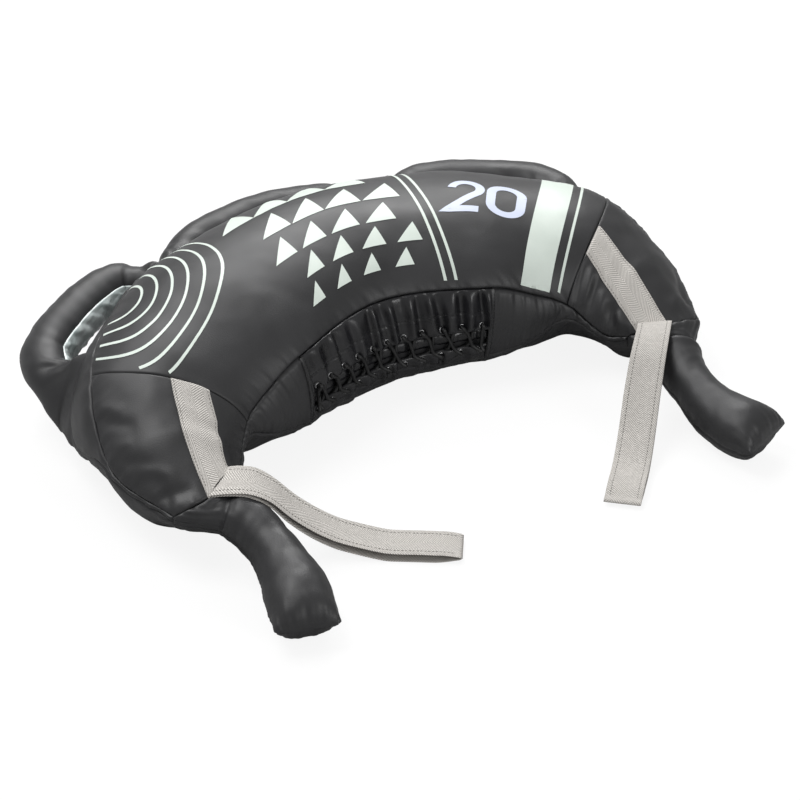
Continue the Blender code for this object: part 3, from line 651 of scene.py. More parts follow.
def under_relief(points, place):
    """Flat where the bag stands on the floor."""
    loose = plain_relief((.0026, .050, 15), (.0009, .017, 16), .0011, 17)
    return smoothstep(points[..., 2], .004, .016) * loose(points, place)


def inner_relief(points, place):
    slant = waves(place["along"] / .0085 + place["first"] / .03, 2.2)
    plain = plain_relief((.0020, .045, 21), (.0006, .016, 22), .0010, 23)
    return plain(points, place) + .0008 * slant * np.exp(-place["last"] / .02)


skin_panel("outer_gusset", "outer", -ROOT, ROOT, .0042,
           plain_relief((.0022, .055, 11), (.0008, .018, 12), .0010, 13))
skin_panel("bottom_panel", "bottom", -ROOT, ROOT, .0050, under_relief)
for side, name in SIDES:
    low, high = sorted((side * LACED_END, side * ROOT))
    skin_panel(f"{name}_inner_panel", "inner", low, high, .0026, inner_relief)

# %% [markdown]
# The laced flaps are of a thinner, glossier coated cloth, drawn together by the lace. Between two
# eyelets the cloth bulges, and over each eyelet it is pinched, so the gathers are waves with one
# crest between each two eyelets, deepest at the eyelets and fading towards the seam.

# %% Laced flaps
EYELETS_PER_ROW = 11
LOWER_EDGE, UPPER_EDGE = .25, .46
EYELET_SHARES = {"lower": .19, "upper": .535}
PITCH = 2 * LACED_END / EYELETS_PER_ROW
HEM_SHARE = .72


def eyelet_spot(k):
    return LACED_END * (2 * (k + .5) / EYELETS_PER_ROW - 1)


def gathers(place, seed):
    """Soft pleats with a crest between each two eyelets, deeper towards the right."""
    lean = place["share"] - .6
    turn = 2 * np.pi * (place["at"] + LACED_END) / PITCH
    drift = .5 * np.sin(turn * .31 + seed) + .3 * np.sin(turn * .73 + 2 * seed)
    turn = turn + drift * (.4 + 1.6 * np.abs(lean)) + lean * (1.6 + 2.2 * np.sin(turn * .37 + seed))
    main = (.5 + .5 * np.cos(turn)) ** 1.25
    second = np.sin(turn * 1.83 + seed + 3 * lean)
    return (1.1 * main + .17 * second - .5) * (1 + 3.2 * place["at"])


def upper_flap_relief(points, place):
    rise = .12 + .88 * np.sin(np.clip(place["last"] / .016, 0, 1) * np.pi / 2)
    rise *= np.clip(place["first"] / .006, .35, 1)
    hem_groove = -.0011 * np.exp(-((place["share"] - HEM_SHARE) / .012) ** 2)
    return rise * .0047 * gathers(place, 1.3) + hem_groove + rolls(points, (.0008, .016, 31)) + .0010


def flap_seam(at):
    """Share of the wall where the lower flap is sewn to the underside, which isn't quite straight."""
    return .105 + .018 * np.sin(at * 62)


def lower_flap_relief(points, place):
    rise = np.clip(place["last"] / .006, .35, 1) * np.clip(place["first"] / .008, 0, 1)
    groove = -.0019 * np.exp(-((place["share"] - flap_seam(place["at"])) / .008) ** 2)
    return rise * .0030 * gathers(place, 2.6) + rolls(points, (.0008, .016, 33)) + groove + .0008


for row, span, relief in (("upper", (UPPER_EDGE, 1), upper_flap_relief),
                          ("lower", (0, LOWER_EDGE), lower_flap_relief)):
    skin_panel(f"{row}_lace_flap", "inner", -LACED_END, LACED_END, .0018, relief, span, COATED)

# %% [markdown]
# Inside the skin lies the wadding. It never shows, but it must not poke through a crease, so it is
# a closed body that keeps a few millimetres below the skin. Behind the lacing the real bag shows a
# crumpled black liner, so that is a piece of its own.

# %% Wadding and liner
WADDING_DEPTH = 0.006
WADDING_STEP = 0.012
WADDING_SHARES = (0, .06, .2, .4, .6, .8, .94)


def make_wadding():
    count = round(2 * (ROOT - WADDING_STEP) / WADDING_STEP)
    rows = []
    for i in range(count + 1):
        at = (ROOT - WADDING_STEP) * (2 * i / count - 1)
        hub = section_middle(at)
        ring = [p for wall in WALLS for p in wall_row(wall, at, WADDING_SHARES)]
        rows.append([p + (hub - p).normalized() * WADDING_DEPTH for p in ring])
    data = mesh_from_grid("wadding", rows, closed=True, capped=True)
    piece = add_piece("wadding_core", data, "bag", FELT, ("padding_wrap",))


def plain_material(name, colour, roughness):
    """For pieces that stay hidden: one mottled colour."""
    material, tree, shader = new_material(name, roughness)
    mottle = node(tree, "ShaderNodeTexNoise", Scale=60.0, Detail=3.0)
    low = tuple(v * .8 for v in colour)
    ramp(tree, mottle.outputs["Fac"], ((.3, low), (.7, colour)), shader.inputs["Base Color"])
    return material


FELT = plain_material("dark_wadding", (.030, .030, .032), .95)
CANVAS = plain_material("filler_canvas", (.30, .28, .24), .9)
make_wadding()
for side in ("left", "middle", "right"):
    sack = frame["nodes"][f"{side}_filler_sack"]
    sack.data.materials.clear()
    sack.data.materials.append(CANVAS)

LINER_DEPTH = 0.0040
LINER_SHARES = (.12, .60)
LINER_GRID = (150, 24)


def liner_relief(place, points):
    in_slot = np.exp(-((place["share"] - (LOWER_EDGE + UPPER_EDGE) / 2) / .085) ** 4)
    return (-LINER_DEPTH - .0050 * (1 - in_slot) + .0012 * gathers(place, 4.1) * in_slot
            + rolls(points, (.0010, .011, 41), (.0007, .005, 42)))


def make_liner():
    spots = np.linspace(-LACED_END, LACED_END, LINER_GRID[0])
    shares = np.linspace(*LINER_SHARES, LINER_GRID[1])
    base = np.array([wall_row("inner", at, shares) for at in spots], float)
    place = dict(zip(("at", "share"), np.meshgrid(spots, shares, indexing="ij")))
    skin = base + normals_of(base) * liner_relief(place, base)[..., None]
    add_piece("lacing_liner", mesh_from_grid("lacing_liner", skin), "bag", COATED)


make_liner()
print("wadding and liner made")

# %% [markdown]
# An eyelet is turned: a small profile goes once round its axis. The real ones are blackened metal
# with a bright worn rim, which the finish's roughness and colour show.

# %% Eyelets
EYELET_SIDES = 28
# Radius and height of the profile, from the bore's back over the rim to the flange's edge
EYELET_PROFILE = ((.0024, -.0016), (.0023, .0003), (.0025, .0007), (.0029, .0009), (.0034, .0007),
                  (.0038, .0002), (.0039, -.0005), (.0034, -.0006), (.0029, -.0016))
EYELET_LIFT = 0.0003


def blackened_metal():
    material, tree, shader = new_material("blackened_metal", .28, 1.0)
    wear = node(tree, "ShaderNodeTexNoise", Scale=900.0, Detail=3.0).outputs["Fac"]
    ramp(tree, wear, ((.40, (.12, .12, .125)), (.66, (.50, .50, .50))), shader.inputs["Base Color"])
    ramp(tree, wear, ((.3, .14), (.7, .30)), shader.inputs["Roughness"])
    return material


METAL = blackened_metal()


def eyelet_place(row, k):
    """The skin at an eyelet: its point, and its level, rising and outward directions."""
    point, out = skin_place(f"{row}_lace_flap", eyelet_spot(k), EYELET_SHARES[row])
    side = UP.cross(out).normalized()
    return point, side, out.cross(side), out


def make_eyelet(row, k):
    point, side, rise, out = eyelet_place(row, k)
    rings = []
    for turn in range(EYELET_SIDES):
        a = 2 * math.pi * turn / EYELET_SIDES
        spoke = side * math.cos(a) + rise * math.sin(a)
        rings.append([point + spoke * radius + out * (height + EYELET_LIFT)
                      for radius, height in EYELET_PROFILE])
    rings.append(rings[0])
    data = face_outward(mesh_from_grid(f"{row}_eyelet", rings, closed=True), weld=.00001)
    node_name = f"{row}_eyelet_{k + 1:02d}"
    add_piece(f"{node_name}_ring", data, "bag", METAL, (node_name,))


for row in ("upper", "lower"):
    for k in range(EYELETS_PER_ROW):
        make_eyelet(row, k)
print("eyelets:", 2 * EYELETS_PER_ROW)

# %% [markdown]
# The lace comes up through an upper eyelet and runs over both flaps to the next lower one, then
# goes back up behind them. So every slot between four eyelets shows one bold strand over a deeper
# one. The route is a list of places at the eyelets, and a smooth curve through them is swept with
# a slightly flat round section.

# %% Lace
LACE_RADIUS = 0.0023
OVER_EYELET = 0.0040
OVER_SKIN = 0.0034
BEHIND = -0.0030
IN_SLOT = -0.0002
SLOT_RISE = 0.0016
EDGE_SHARES = {"lower": LOWER_EDGE, "upper": UPPER_EDGE}
OTHER_ROW = {"lower": "upper", "upper": "lower"}
LACE_SIDES = 10
LACE_FLATNESS = .8
LACE_FACING = Vector((0, -.8, .6))


def beside_edge(row, at, height):
    point, _ = skin_place(f"{row}_lace_flap", at, EDGE_SHARES[row])
    _, out = skin_place(f"{row}_lace_flap", at, EYELET_SHARES[row])
    return point + out * height


def at_eyelet(row, k, height, aside=0.0):
    point, side, _, out = eyelet_place(row, k)
    return point + out * height + side * aside


def strand(row, k, far_k, height):
    """Places between an eyelet of one row and an eyelet of the other row."""
    start, end = eyelet_spot(k), eyelet_spot(far_k)
    near_edge = beside_edge(row, start + (end - start) * .36, height)
    far_edge = beside_edge(OTHER_ROW[row], start + (end - start) * .64, height)
    rise = eyelet_place(row, k)[3] * (SLOT_RISE if height < 0 else 0)
    return [near_edge, (near_edge + far_edge) / 2 + rise, far_edge]


def lace_half(row):
    """Half of the lace from left to right: in front on the way down, behind on the way up."""
    aside = LACE_RADIUS * 1.1
    points = [at_eyelet(row, 0, BEHIND), at_eyelet(row, 0, OVER_EYELET, aside)]
    points += strand(row, 0, 0, OVER_SKIN)
    row = OTHER_ROW[row]
    points.append(at_eyelet(row, 0, OVER_EYELET, aside if row == "upper" else -aside))
    if row == "lower":
        points.append(at_eyelet(row, 0, BEHIND))
    for k in range(EYELETS_PER_ROW - 1):
        points += strand(row, k, k + 1, OVER_SKIN if row == "upper" else IN_SLOT)
        row = OTHER_ROW[row]
        ends = (BEHIND, OVER_EYELET) if row == "upper" else (OVER_EYELET, BEHIND)
        points += [at_eyelet(row, k + 1, end) for end in ends]
    return points


def smooth_line(points, per_span=7):
    """Points on a Catmull-Rom curve through the given ones."""
    line = []
    for i in range(len(points) - 1):
        a, b = points[max(i - 1, 0)], points[i]
        c, d = points[i + 1], points[min(i + 2, len(points) - 1)]
        for s in range(per_span):
            u = s / per_span
            line.append(b + (c - a) * (u / 2) + (a * 2 - b * 5 + c * 4 - d) * (u * u / 2)
                        + (b * 3 - a - c * 3 + d) * (u ** 3 / 2))
    return line + [points[-1]]


def sweep(name, line):
    """The lace's slightly flat tube along a line, capped at both ends."""
    turns = [2 * math.pi * k / LACE_SIDES for k in range(LACE_SIDES)]
    rings = []
    for i, point in enumerate(line):
        way = (line[min(i + 1, len(line) - 1)] - line[max(i - 1, 0)]).normalized()
        side = way.cross(LACE_FACING).normalized() * LACE_RADIUS
        rise = side.cross(way) * LACE_FLATNESS
        rings.append([point + side * math.cos(a) + rise * math.sin(a) for a in turns])
    uv = [[(k / LACE_SIDES, run) for k in range(LACE_SIDES)] for run in distances(line)]
    return mesh_from_grid(name, rings, closed=True, capped=True, uv=uv)


def woven_cord(name, colour, roughness, pitch):
    """A braided thread or lace: slanting bumps of a given pitch."""
    material, tree, shader = new_material(name, roughness)
    place = node(tree, "ShaderNodeTexCoord").outputs["Object"]
    braid = node(tree, "ShaderNodeTexWave", (("Vector", place),),
                 Scale=1 / pitch, Distortion=1.5, Detail=1.0).outputs["Fac"]
    ramp(tree, braid, ((.2, tuple(v * .6 for v in colour)), (.8, colour)), shader.inputs["Base Color"])
    add_bump(tree, shader, braid, .4)
    return material


LACE = woven_cord("black_lace", (.0045, .0045, .005), .52, .011)
LAST_EYELET = EYELETS_PER_ROW - 1
front_half = lace_half("lower") + strand("upper", LAST_EYELET, LAST_EYELET, OVER_SKIN)
front_half += [at_eyelet("lower", LAST_EYELET, height, LACE_RADIUS) for height in (OVER_EYELET, BEHIND)]
back_half = lace_half("upper")
for name, half, nodes in (("lace_cord", front_half, ("lace",)), ("lace_cord_back", back_half, ())):
    add_piece(name, sweep(name, smooth_line(half)), "bag", LACE, nodes)
print("lace halves have", len(front_half), "and", len(back_half), "points")

# %% [markdown]
# Stitches are modelled one by one where they show: short rounded threads that dip into the cloth
# at both ends. One function lays a row of them along any line.

# %% Stitch rows
STITCH_LENGTH = 0.0028
STITCH_GAP = 0.0012
THREAD_RADIUS = 0.00035
THREAD_SIDES = 6
# A stitch's rings: share of its length, lift and thickness in radii
STITCH_RINGS = ((0, -.9, .5), (.15, .1, 1), (.5, .5, 1), (.85, .1, 1), (1, -.9, .5))


def stitch_row(places):
    """Rings for one row of stitches; places are points with their outward normals."""
    run = distances([point for point, _ in places])

    def read(s):
        i = min(max(int(np.searchsorted(run, s)) - 1, 0), len(run) - 2)
        u = min(max((s - run[i]) / max(run[i + 1] - run[i], 1e-9), 0), 1)
        return places[i][0].lerp(places[i + 1][0], u), places[i][1].lerp(places[i + 1][1], u)

    pitch = STITCH_LENGTH + STITCH_GAP
    turns = [2 * math.pi * k / THREAD_SIDES for k in range(THREAD_SIDES)]
    stitches = []
    for n in range(int(run[-1] / pitch)):
        rings = []
        for u, lift, thick in STITCH_RINGS:
            point, out = read(n * pitch + u * STITCH_LENGTH)
            way = (read(n * pitch + u * STITCH_LENGTH + .0002)[0] - point).normalized()
            side = way.cross(out).normalized()
            centre = point + out * (lift * THREAD_RADIUS)
            rings.append([centre + (side * math.cos(a) + out * math.sin(a)) * THREAD_RADIUS * thick
                          for a in turns])
        stitches.append(rings)
    return stitches


def add_stitches(name, lines, body, material):
    """The stitches along several lines as one piece."""
    stitches = [np.array(rings, float) for line in lines for rings in stitch_row(line)]
    data = mesh_from_grids(name, stitches, closed=True, capped=True)
    return add_piece(name, data, body, material)


def stitch_line(points, normals):
    return [(Vector(p), Vector(n)) for p, n in zip(points, normals)]


THREAD = woven_cord("black_thread", (.020, .020, .022), .45, .002)
HEM_SPOTS = np.linspace(-LACED_END * .97, LACED_END * .97, 240)
upper_hem = [skin_place("upper_lace_flap", at, HEM_SHARE) for at in HEM_SPOTS]
lower_seam = [skin_place("lower_lace_flap", at, flap_seam(at)) for at in HEM_SPOTS]
add_stitches("flap_hem_stitches", [upper_hem, lower_seam], "bag", THREAD)

# %% Bindings at the ends of the lacing
BINDING_WIDTH = 0.0085
BINDING_RISE = 0.0012
# Across a binding: place in widths and rise in rises
BINDING_SECTION = ((-.5, -1), (-.46, .6), (-.3, 1), (0, .75), (.3, 1), (.46, .6), (.5, -1))


def make_binding(side, name):
    """A folded strip over the joint between the gathered cloth and the plain inner panel."""
    shares = np.linspace(.012, .988, 70)
    base = np.array([wall_row("inner", side * LACED_END + BINDING_WIDTH * place, shares)
                     for place, _ in BINDING_SECTION], float)
    lifts = BINDING_RISE * np.array([rise for _, rise in BINDING_SECTION])
    wobble = rolls(base, (.0004, .012, 51 + side))
    skin = base + normals_of(base) * (SKIN + lifts[:, None] + wobble)[..., None]
    add_piece(f"{name}_strip", mesh_from_grid(name, skin), "bag", PIPING, (name,))
    out = normals_of(skin)
    add_stitches(f"{name}_stitches", [stitch_line(skin[i], out[i]) for i in (2, 4)], "bag",
                 THREAD)


for side, name in SIDES:
    make_binding(side, f"{name}_lace_binding")
print("bindings made")

# %% [markdown]
# The horns are stuffed sleeves, cut from a top and a bottom piece and sewn shut flat at the tip.
# At the root the sleeve takes the lens shape of the shell's open end, and then it rounds off. So
# its rings start as that outline and turn into ellipses.

# %% Horn shape
HORN_REACH = 0.196
HORN_RADIUS = 0.034
HORN_SIDES = 96
HORN_PATHS = {
    "left": ((0, 0, 0), (.105, .16, -.012), (.158, .40, -.084), (.137, .63, -.118), (.080, .85, -.130),
             (.030, 1, -.136)),
    "right": ((0, 0, 0), (.050, .17, -.035), (.088, .40, -.088), (.104, .63, -.120), (.067, .85, -.124),
              (.012, 1, -.122)),
}
# Share along the horn, then half width and half height as shares of HORN_RADIUS
HORN_SECTIONS = {
    "left": ((0, 1.30, .72), (.05, .95, .57), (.11, .78, .60), (.20, .76, .72), (.32, .72, .77),
             (.40, .70, .78), (.48, .76, .84), (.60, .84, .88), (.76, .99, .94), (.88, .97, .82),
             (.95, .96, .60), (.985, .94, .32), (1, .90, .10)),
    "right": ((0, 1.30, .72), (.05, 1.0, .66), (.11, .90, .70), (.20, .82, .79), (.32, .72, .78),
              (.46, .69, .77), (.60, .79, .83), (.76, .92, .88), (.88, 1.02, .86), (.95, 1.07, .66),
              (.985, 1.07, .36), (1, 1.04, .10)),
}
ROOT_MORPH = .13
SIDE_SEAM_TURN = math.radians(-14)
# Depth of the two pinches behind a horn's root, and height of the roll between them
PINCHES = {-1: (.0018, .0010, .0012), 1: (.0050, .0034, .0030)}


def curve_through(points):
    """A function of the share along a smooth line through points."""
    run = distances(points)
    knots = [k / run[-1] for k in run]
    return lambda share: smooth_value(knots, points, share)


def direction(line, share):
    """Which way such a line goes at a share of its length."""
    return (line(min(share + .01, 1)) - line(max(share - .01, 0))).normalized()


def column(rows, share, i):
    return smooth_value([row[0] for row in rows], [row[i] for row in rows], share)


def hinge(name):
    """A joint's place and axis."""
    joint = next(j for j in frame["joints"] if j["name"] == name)
    return Vector(joint["pos_m"]), Vector(joint["axis"])


def root_outline(side, turn):
    """The shell's end outline, read by turn: 0 at the outer seam, a quarter turn at the top."""
    turn %= 2 * math.pi
    if turn <= math.pi:
        return on_wall("top", side * ROOT, (1 + math.cos(turn)) / 2)
    return on_wall("bottom", side * ROOT, (1 - math.cos(turn)) / 2)


def horn_axes(side, name):
    """Hinge point, direction to the outer seam, and the direction ahead, at a horn's root."""
    across = on_wall("top", side * ROOT, 1) - on_wall("top", side * ROOT, 0)
    across.z = 0
    across.normalize()
    ahead = UP.cross(across)
    return hinge(f"{name}_horn_bend")[0], across, ahead if ahead.y < 0 else -ahead


def horn_grid(side, name):
    """Rings from the root's outline to the tip, with the share along the horn and the turn."""
    centre, across, _ = horn_axes(side, name)
    sections = HORN_SECTIONS[name]
    place = curve_through([Vector((-side * x, -y, z)) * HORN_REACH + centre for x, y, z in HORN_PATHS[name]])
    shares = [0, .004, .010, .018, .028, *np.linspace(.04, .955, 100), .965, .975, .983, .990, .995, 1]
    turns = [2 * math.pi * k / HORN_SIDES for k in range(HORN_SIDES)]
    outline = [root_outline(side, turn) for turn in turns]
    rows = []
    for share in shares:
        way = direction(place, share)
        level = way.cross(UP).normalized()
        if level.dot(across) < 0:
            level.negate()
        rise = way.cross(level).normalized()
        if rise.z < 0:
            rise.negate()
        rise = rise.lerp(UP, float(smoothstep(share, .92, 1))).normalized()
        wide, high = (column(sections, share, i) * HORN_RADIUS for i in (1, 2))
        morph = float(smoothstep(share, 0, ROOT_MORPH))
        middle = place(share)
        shift = middle - place(0)
        round_row = [middle + level * (wide * math.cos(a)) + rise * (high * math.sin(a)) for a in turns]
        rows.append([(edge + shift).lerp(point, morph) for edge, point in zip(outline, round_row)])
    return np.array(rows, float), np.array(shares), np.array(turns)


def outward(points):
    """Normals of a closed grid, turned so that they point away from its middle line."""
    out = normals_of(points, closed=True)
    return out if np.sum(out * (points - points.mean(axis=1, keepdims=True))) >= 0 else -out


def horn_relief(side, points, shares, turns):
    s, t = np.meshgrid(shares, turns, indexing="ij")
    along = s * HORN_REACH
    seam_gap = np.minimum(np.abs(np.angle(np.exp(1j * (t - SIDE_SEAM_TURN)))),
                          np.abs(np.angle(np.exp(1j * (t - np.pi + SIDE_SEAM_TURN))))) * HORN_RADIUS
    groove = -.0018 * np.exp(-(seam_gap / .0016) ** 2) * smoothstep(s, .01, .06)
    pucker = .0011 * waves(along / .0045, 3 + side)
    pucker *= np.exp(-seam_gap / .008) * (1 - np.exp(-seam_gap / .002))
    pleats = .0022 * waves(t * 4.5, 1.2 + side) * np.exp(-along / .020)
    rings = .0011 * waves(along / .0075 + .9 * np.sin(t + side), 6 + side) * np.exp(
        -((along - .040) / .030) ** 2) * (.35 + .65 * np.cos(t) ** 2)
    tip = .0012 * waves(t * 6, 2.4 + side) * np.exp(-(HORN_REACH - along) / .012)
    # Two pinches with a roll between them cross the top, deeper on the right horn
    first = along - .024 - .008 * np.cos(t)
    second = first - .0115 + .006 * np.sin(t)
    deep, shallow, roll = PINCHES[side]
    pinch = (roll * np.exp(-((first - .011) / .0055) ** 2) - deep * np.exp(-(first / .0034) ** 2)
             - shallow * np.exp(-(second / .0030) ** 2)) * smoothstep(np.sin(t), -.35, .25)
    return (rolls(points, (.0014, .050, 61 + side), (.0007, .014, 65 + side))
            + groove + pucker + pleats + rings + tip + pinch)


def make_horn(side, name):
    points, shares, turns = horn_grid(side, name)
    near_root = np.exp(-shares * HORN_REACH / SEAM_ROLL)[:, None]
    height = (SKIN + horn_relief(side, points, shares, turns)) * (1 - near_root) - SEAM_DEPTH * near_root
    tip_fade = smoothstep(1 - shares, 0, .02)[:, None]
    skin = points + outward(points) * (height * (.25 + .75 * tip_fade))[..., None]
    skin[..., 2] = np.maximum(skin[..., 2], 0.0)
    data = face_outward(mesh_from_grid(f"{name}_horn", skin, closed=True, capped=True))
    piece = add_piece(f"{name}_horn_skin", data, None, CHARCOAL,
                      (f"{name}_horn_sleeve", f"{name}_horn_stuffing"))
    centre, _, ahead = horn_axes(side, name)
    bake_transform(piece)
    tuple(centre)
    print(name, "horn:", skin.shape[0], "rings")


for side, name in SIDES:
    make_horn(side, name)

# %% [markdown]
# A handle is a stuffed tube that flattens where it is sewn to the gusset. Its middle follows the
# solid handle's own path. Beyond each end the path goes on into the gusset, and the section turns
# from round to a tall thin web there. The hand's side is lined with crumpled silver cloth.

# %% Handle shape
HANDLE_HEIGHT = 0.080
HANDLE_SIDES = 64
SIDE_HANDLE_SHARES = ((.937, .532), (.948, .620), (.912, .703), (.787, .795), (.650, .866),
                      (.555, .888), (.4745, .857))
MIDDLE_HANDLE_SHARES = ((-.333, .8945), (-.255, .950), (-.120, .990), (0, 1), (.120, .990),
                        (.255, .950), (.333, .8945))
# Beyond an end: x, y and z in metres, then half thickness, half height and how far the web's top
# leans towards the bag
OUTER_WEB = ((.351, .006, .076, .003, .020, .004), (.3480, .035, .080, .006, .036, .010),
             (.3430, .064, .084, .009, .042, .015), (.3385, .093, .082, .014, .044, .019))
# The left handle hangs slacker: x, y and z in metres added to its first stations
LEFT_SLACK = ((.002, -.005, -.004), (.004, -.009, -.001), (.002, -.009, 0), (.001, -.005, 0),
              (0, -.002, 0), (0, 0, 0), (0, 0, 0))
# Its web is nearer to the bag where the tube starts: x, z and half height added per station
LEFT_WEB_SAG = ((0, 0, 0), (0, -.001, .001), (.002, -.001, .001), (.006, 0, 0))
SIDE_WEB = ((.160, .2405, .079, .013, .031, 0), (.150, .228, .077, .009, .028, 0))
MIDDLE_WEB = ((-.150, .228, .077, .009, .028, 0), (-.134, .2490, .079, .013, .031, 0))
HANDLE_SWELLS = ((0, .78), (.13, .86), (.24, .95), (.37, 1.01), (.63, 1.02), (.76, 1.01), (.87, .97),
                 (1, .80))
HANDLE_STEP = 0.0035


def handle_stations(side, rows, before, after):
    """Along a handle: middle point, half thickness, half height and lean."""
    start, finish = ([(Vector((side * x, y, z)), *sizes) for x, y, z, *sizes in part]
                     for part in (before, after))
    if side < 0:
        start = [(point + Vector((x, 0, z)), thin, tall + more, lean)
                 for (point, thin, tall, lean), (x, z, more) in zip(start, LEFT_WEB_SAG)]
    tube = []
    for i, (x, y) in enumerate(rows):
        point = Vector((side * x * BODY_REACH, y * HANDLE_BACK, HANDLE_HEIGHT)) + SHIFT
        if side < 0:
            point += Vector(LEFT_SLACK[i])
        swell = column(HANDLE_SWELLS, i / (len(rows) - 1), 1) * HANDLE_RADIUS
        tube.append((point, swell, swell, 0))
    if len(before) > 2:
        point, swell, _, _ = tube[0]
        tube[0] = (point, swell, swell * 1.45, .012)
    return start + tube + finish


def handle_grid(stations):
    """Rings along a handle; each starts on the hand's side and then goes over the top."""
    points = [station[0] for station in stations]
    knots = distances(points)
    total = knots[-1]
    alongs = np.linspace(0, total, round(total / HANDLE_STEP) + 1)
    turns = [2 * math.pi * k / HANDLE_SIDES for k in range(HANDLE_SIDES)]
    rows = []
    for at in alongs:
        point = smooth_value(knots, points, at)
        way = (smooth_value(knots, points, min(at + .004, total))
               - smooth_value(knots, points, max(at - .004, 0))).normalized()
        level = way.cross(UP).normalized()
        if level.dot(Vector((0, -.05, 0)) - point) < 0:
            level.negate()
        thin, tall, lean = (steady_value(knots, [station[i] for station in stations], at) for i in (1, 2, 3))
        rows.append([point + level * (thin * math.cos(a) + lean * math.sin(a)) + UP * (tall * math.sin(a))
                     for a in turns])
    return np.array(rows, float), alongs, np.array(turns)


def handle_relief(points, alongs, turns, seed):
    at, turn = np.meshgrid(alongs, turns, indexing="ij")
    near = np.minimum(at, alongs[-1] - at)
    crinkle = .0014 * waves(at / .0085 + .8 * np.cos(turn + seed), seed)
    crinkle *= np.exp(-((near - .045) / .022) ** 2)
    ripples = .0005 * waves(at / .0125 + 1.2 * np.sin(turn * 1.5 + seed), seed + 2)
    under = np.abs(np.angle(np.exp(1j * (turn + 1.25)))) * HANDLE_RADIUS
    groove = -.0016 * np.exp(-(under / .0018) ** 2)
    return rolls(points, (.0016, .045, seed + 70), (.0004, .016, seed + 75)) + crinkle + ripples + groove


# Pull folds at a side handle's outer end: they all start at the corner where the web is sewn on
PULL_CORNER = (.326, .108, .116)
PULL_FOLDS = ((.356, .164, .100, .0034), (.362, .148, .090, -.0042), (.364, .132, .078, .0040),
              (.362, .116, .062, -.0034), (.358, .094, .052, .0026))


def pull_relief(points, side):
    corner = (side * PULL_CORNER[0], *PULL_CORNER[1:])
    return sum(crease(points, corner, (side * x, y, z), .0052, height, "end")
               for x, y, z, height in PULL_FOLDS)


LINING_TURNS = (-1.05, .62)
LINING_CUTS = 40
LINING_MARGIN = 0.030


def make_handle(name, side, rows, before, after):
    points, alongs, turns = handle_grid(handle_stations(side, rows, before, after))
    height = handle_relief(points, alongs, turns, 3.0 + side * .7 + len(name))
    if len(before) > 2:
        height = height + pull_relief(points, side)
    skin = points + outward(points) * height[..., None]
    data = face_outward(mesh_from_grid(f"{name}_handle", skin, closed=True, capped=True))
    tube = add_piece(f"{name}_handle_skin", data, None, CHARCOAL,
                     (f"{name}_handle_tube",))
    lined = make_lining(name, points, alongs, skin)
    pivot, axis = hinge(f"{name}_handle_flex")
    away = axis.cross(UP).normalized()
    if away.dot(Vector(points[len(points) // 2].mean(axis=0)) - pivot) < 0:
        away.negate()
    for piece in (tube, lined):
        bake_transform(piece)
    print(name, "handle:", len(alongs), "rings")


def make_lining(name, points, alongs, skin):
    """A strip of crumpled cloth on the hand's side, sewn on along both edges."""
    picked = (alongs > LINING_MARGIN) & (alongs < alongs[-1] - LINING_MARGIN)
    columns = []
    for turn in np.linspace(*LINING_TURNS, LINING_CUTS + 1) % (2 * math.pi):
        place = turn / (2 * math.pi) * HANDLE_SIDES
        low, share = int(place) % HANDLE_SIDES, place - int(place)
        columns.append(skin[picked, low] * (1 - share) + skin[picked, (low + 1) % HANDLE_SIDES] * share)
    strip = np.stack(columns, axis=1)
    face = normals_of(strip)
    if np.sum(face * (strip - points[picked].mean(axis=1, keepdims=True))) < 0:
        face = -face
    u = np.linspace(0, 1, LINING_CUTS + 1)[None, :]
    along = running_length(strip, 0)
    edge = np.minimum(u, 1 - u) * HANDLE_RADIUS * 1.7
    end = np.minimum(along, along[-1:] - along)
    crumple = rolls(strip, (.0016, .011, 81), (.0009, .005, 82)) + .0012 * waves(along / .0045 + 5 * u, 83)
    lift = .0014 + np.clip(edge / .006, 0, 1) * crumple
    lift = np.where((edge < .0004) | (end < .0004), -.0010, np.maximum(lift, .0006))
    data = face_outward(mesh_from_grid(f"{name}_lining", strip + face * lift[..., None]))
    return add_piece(f"{name}_handle_lining_cloth", data, None, LINING,
                     (f"{name}_handle_lining",))


make_handle("left", -1, SIDE_HANDLE_SHARES, OUTER_WEB, SIDE_WEB)
make_handle("middle", 1, MIDDLE_HANDLE_SHARES, MIDDLE_WEB,
            tuple((-row[0], *row[1:]) for row in reversed(MIDDLE_WEB)))
make_handle("right", 1, SIDE_HANDLE_SHARES, OUTER_WEB, SIDE_WEB)

# %% [markdown]
# The straps are 40 mm webbing. Each has a run sewn on the end panel and a loop that folds over at
# the horn's root and lies on the floor. The weave is a herringbone. It follows the strap, so it is
# drawn from the strap's own coordinates: across its width and along its length, in metres.

# %% Webbing finish
WEBBING_WIDTH = 0.040
WEBBING = 0.0016
HERRINGBONE_WIDTH = 0.0115
RIB_PITCH = 0.0027
YARN_PITCH = 0.0013


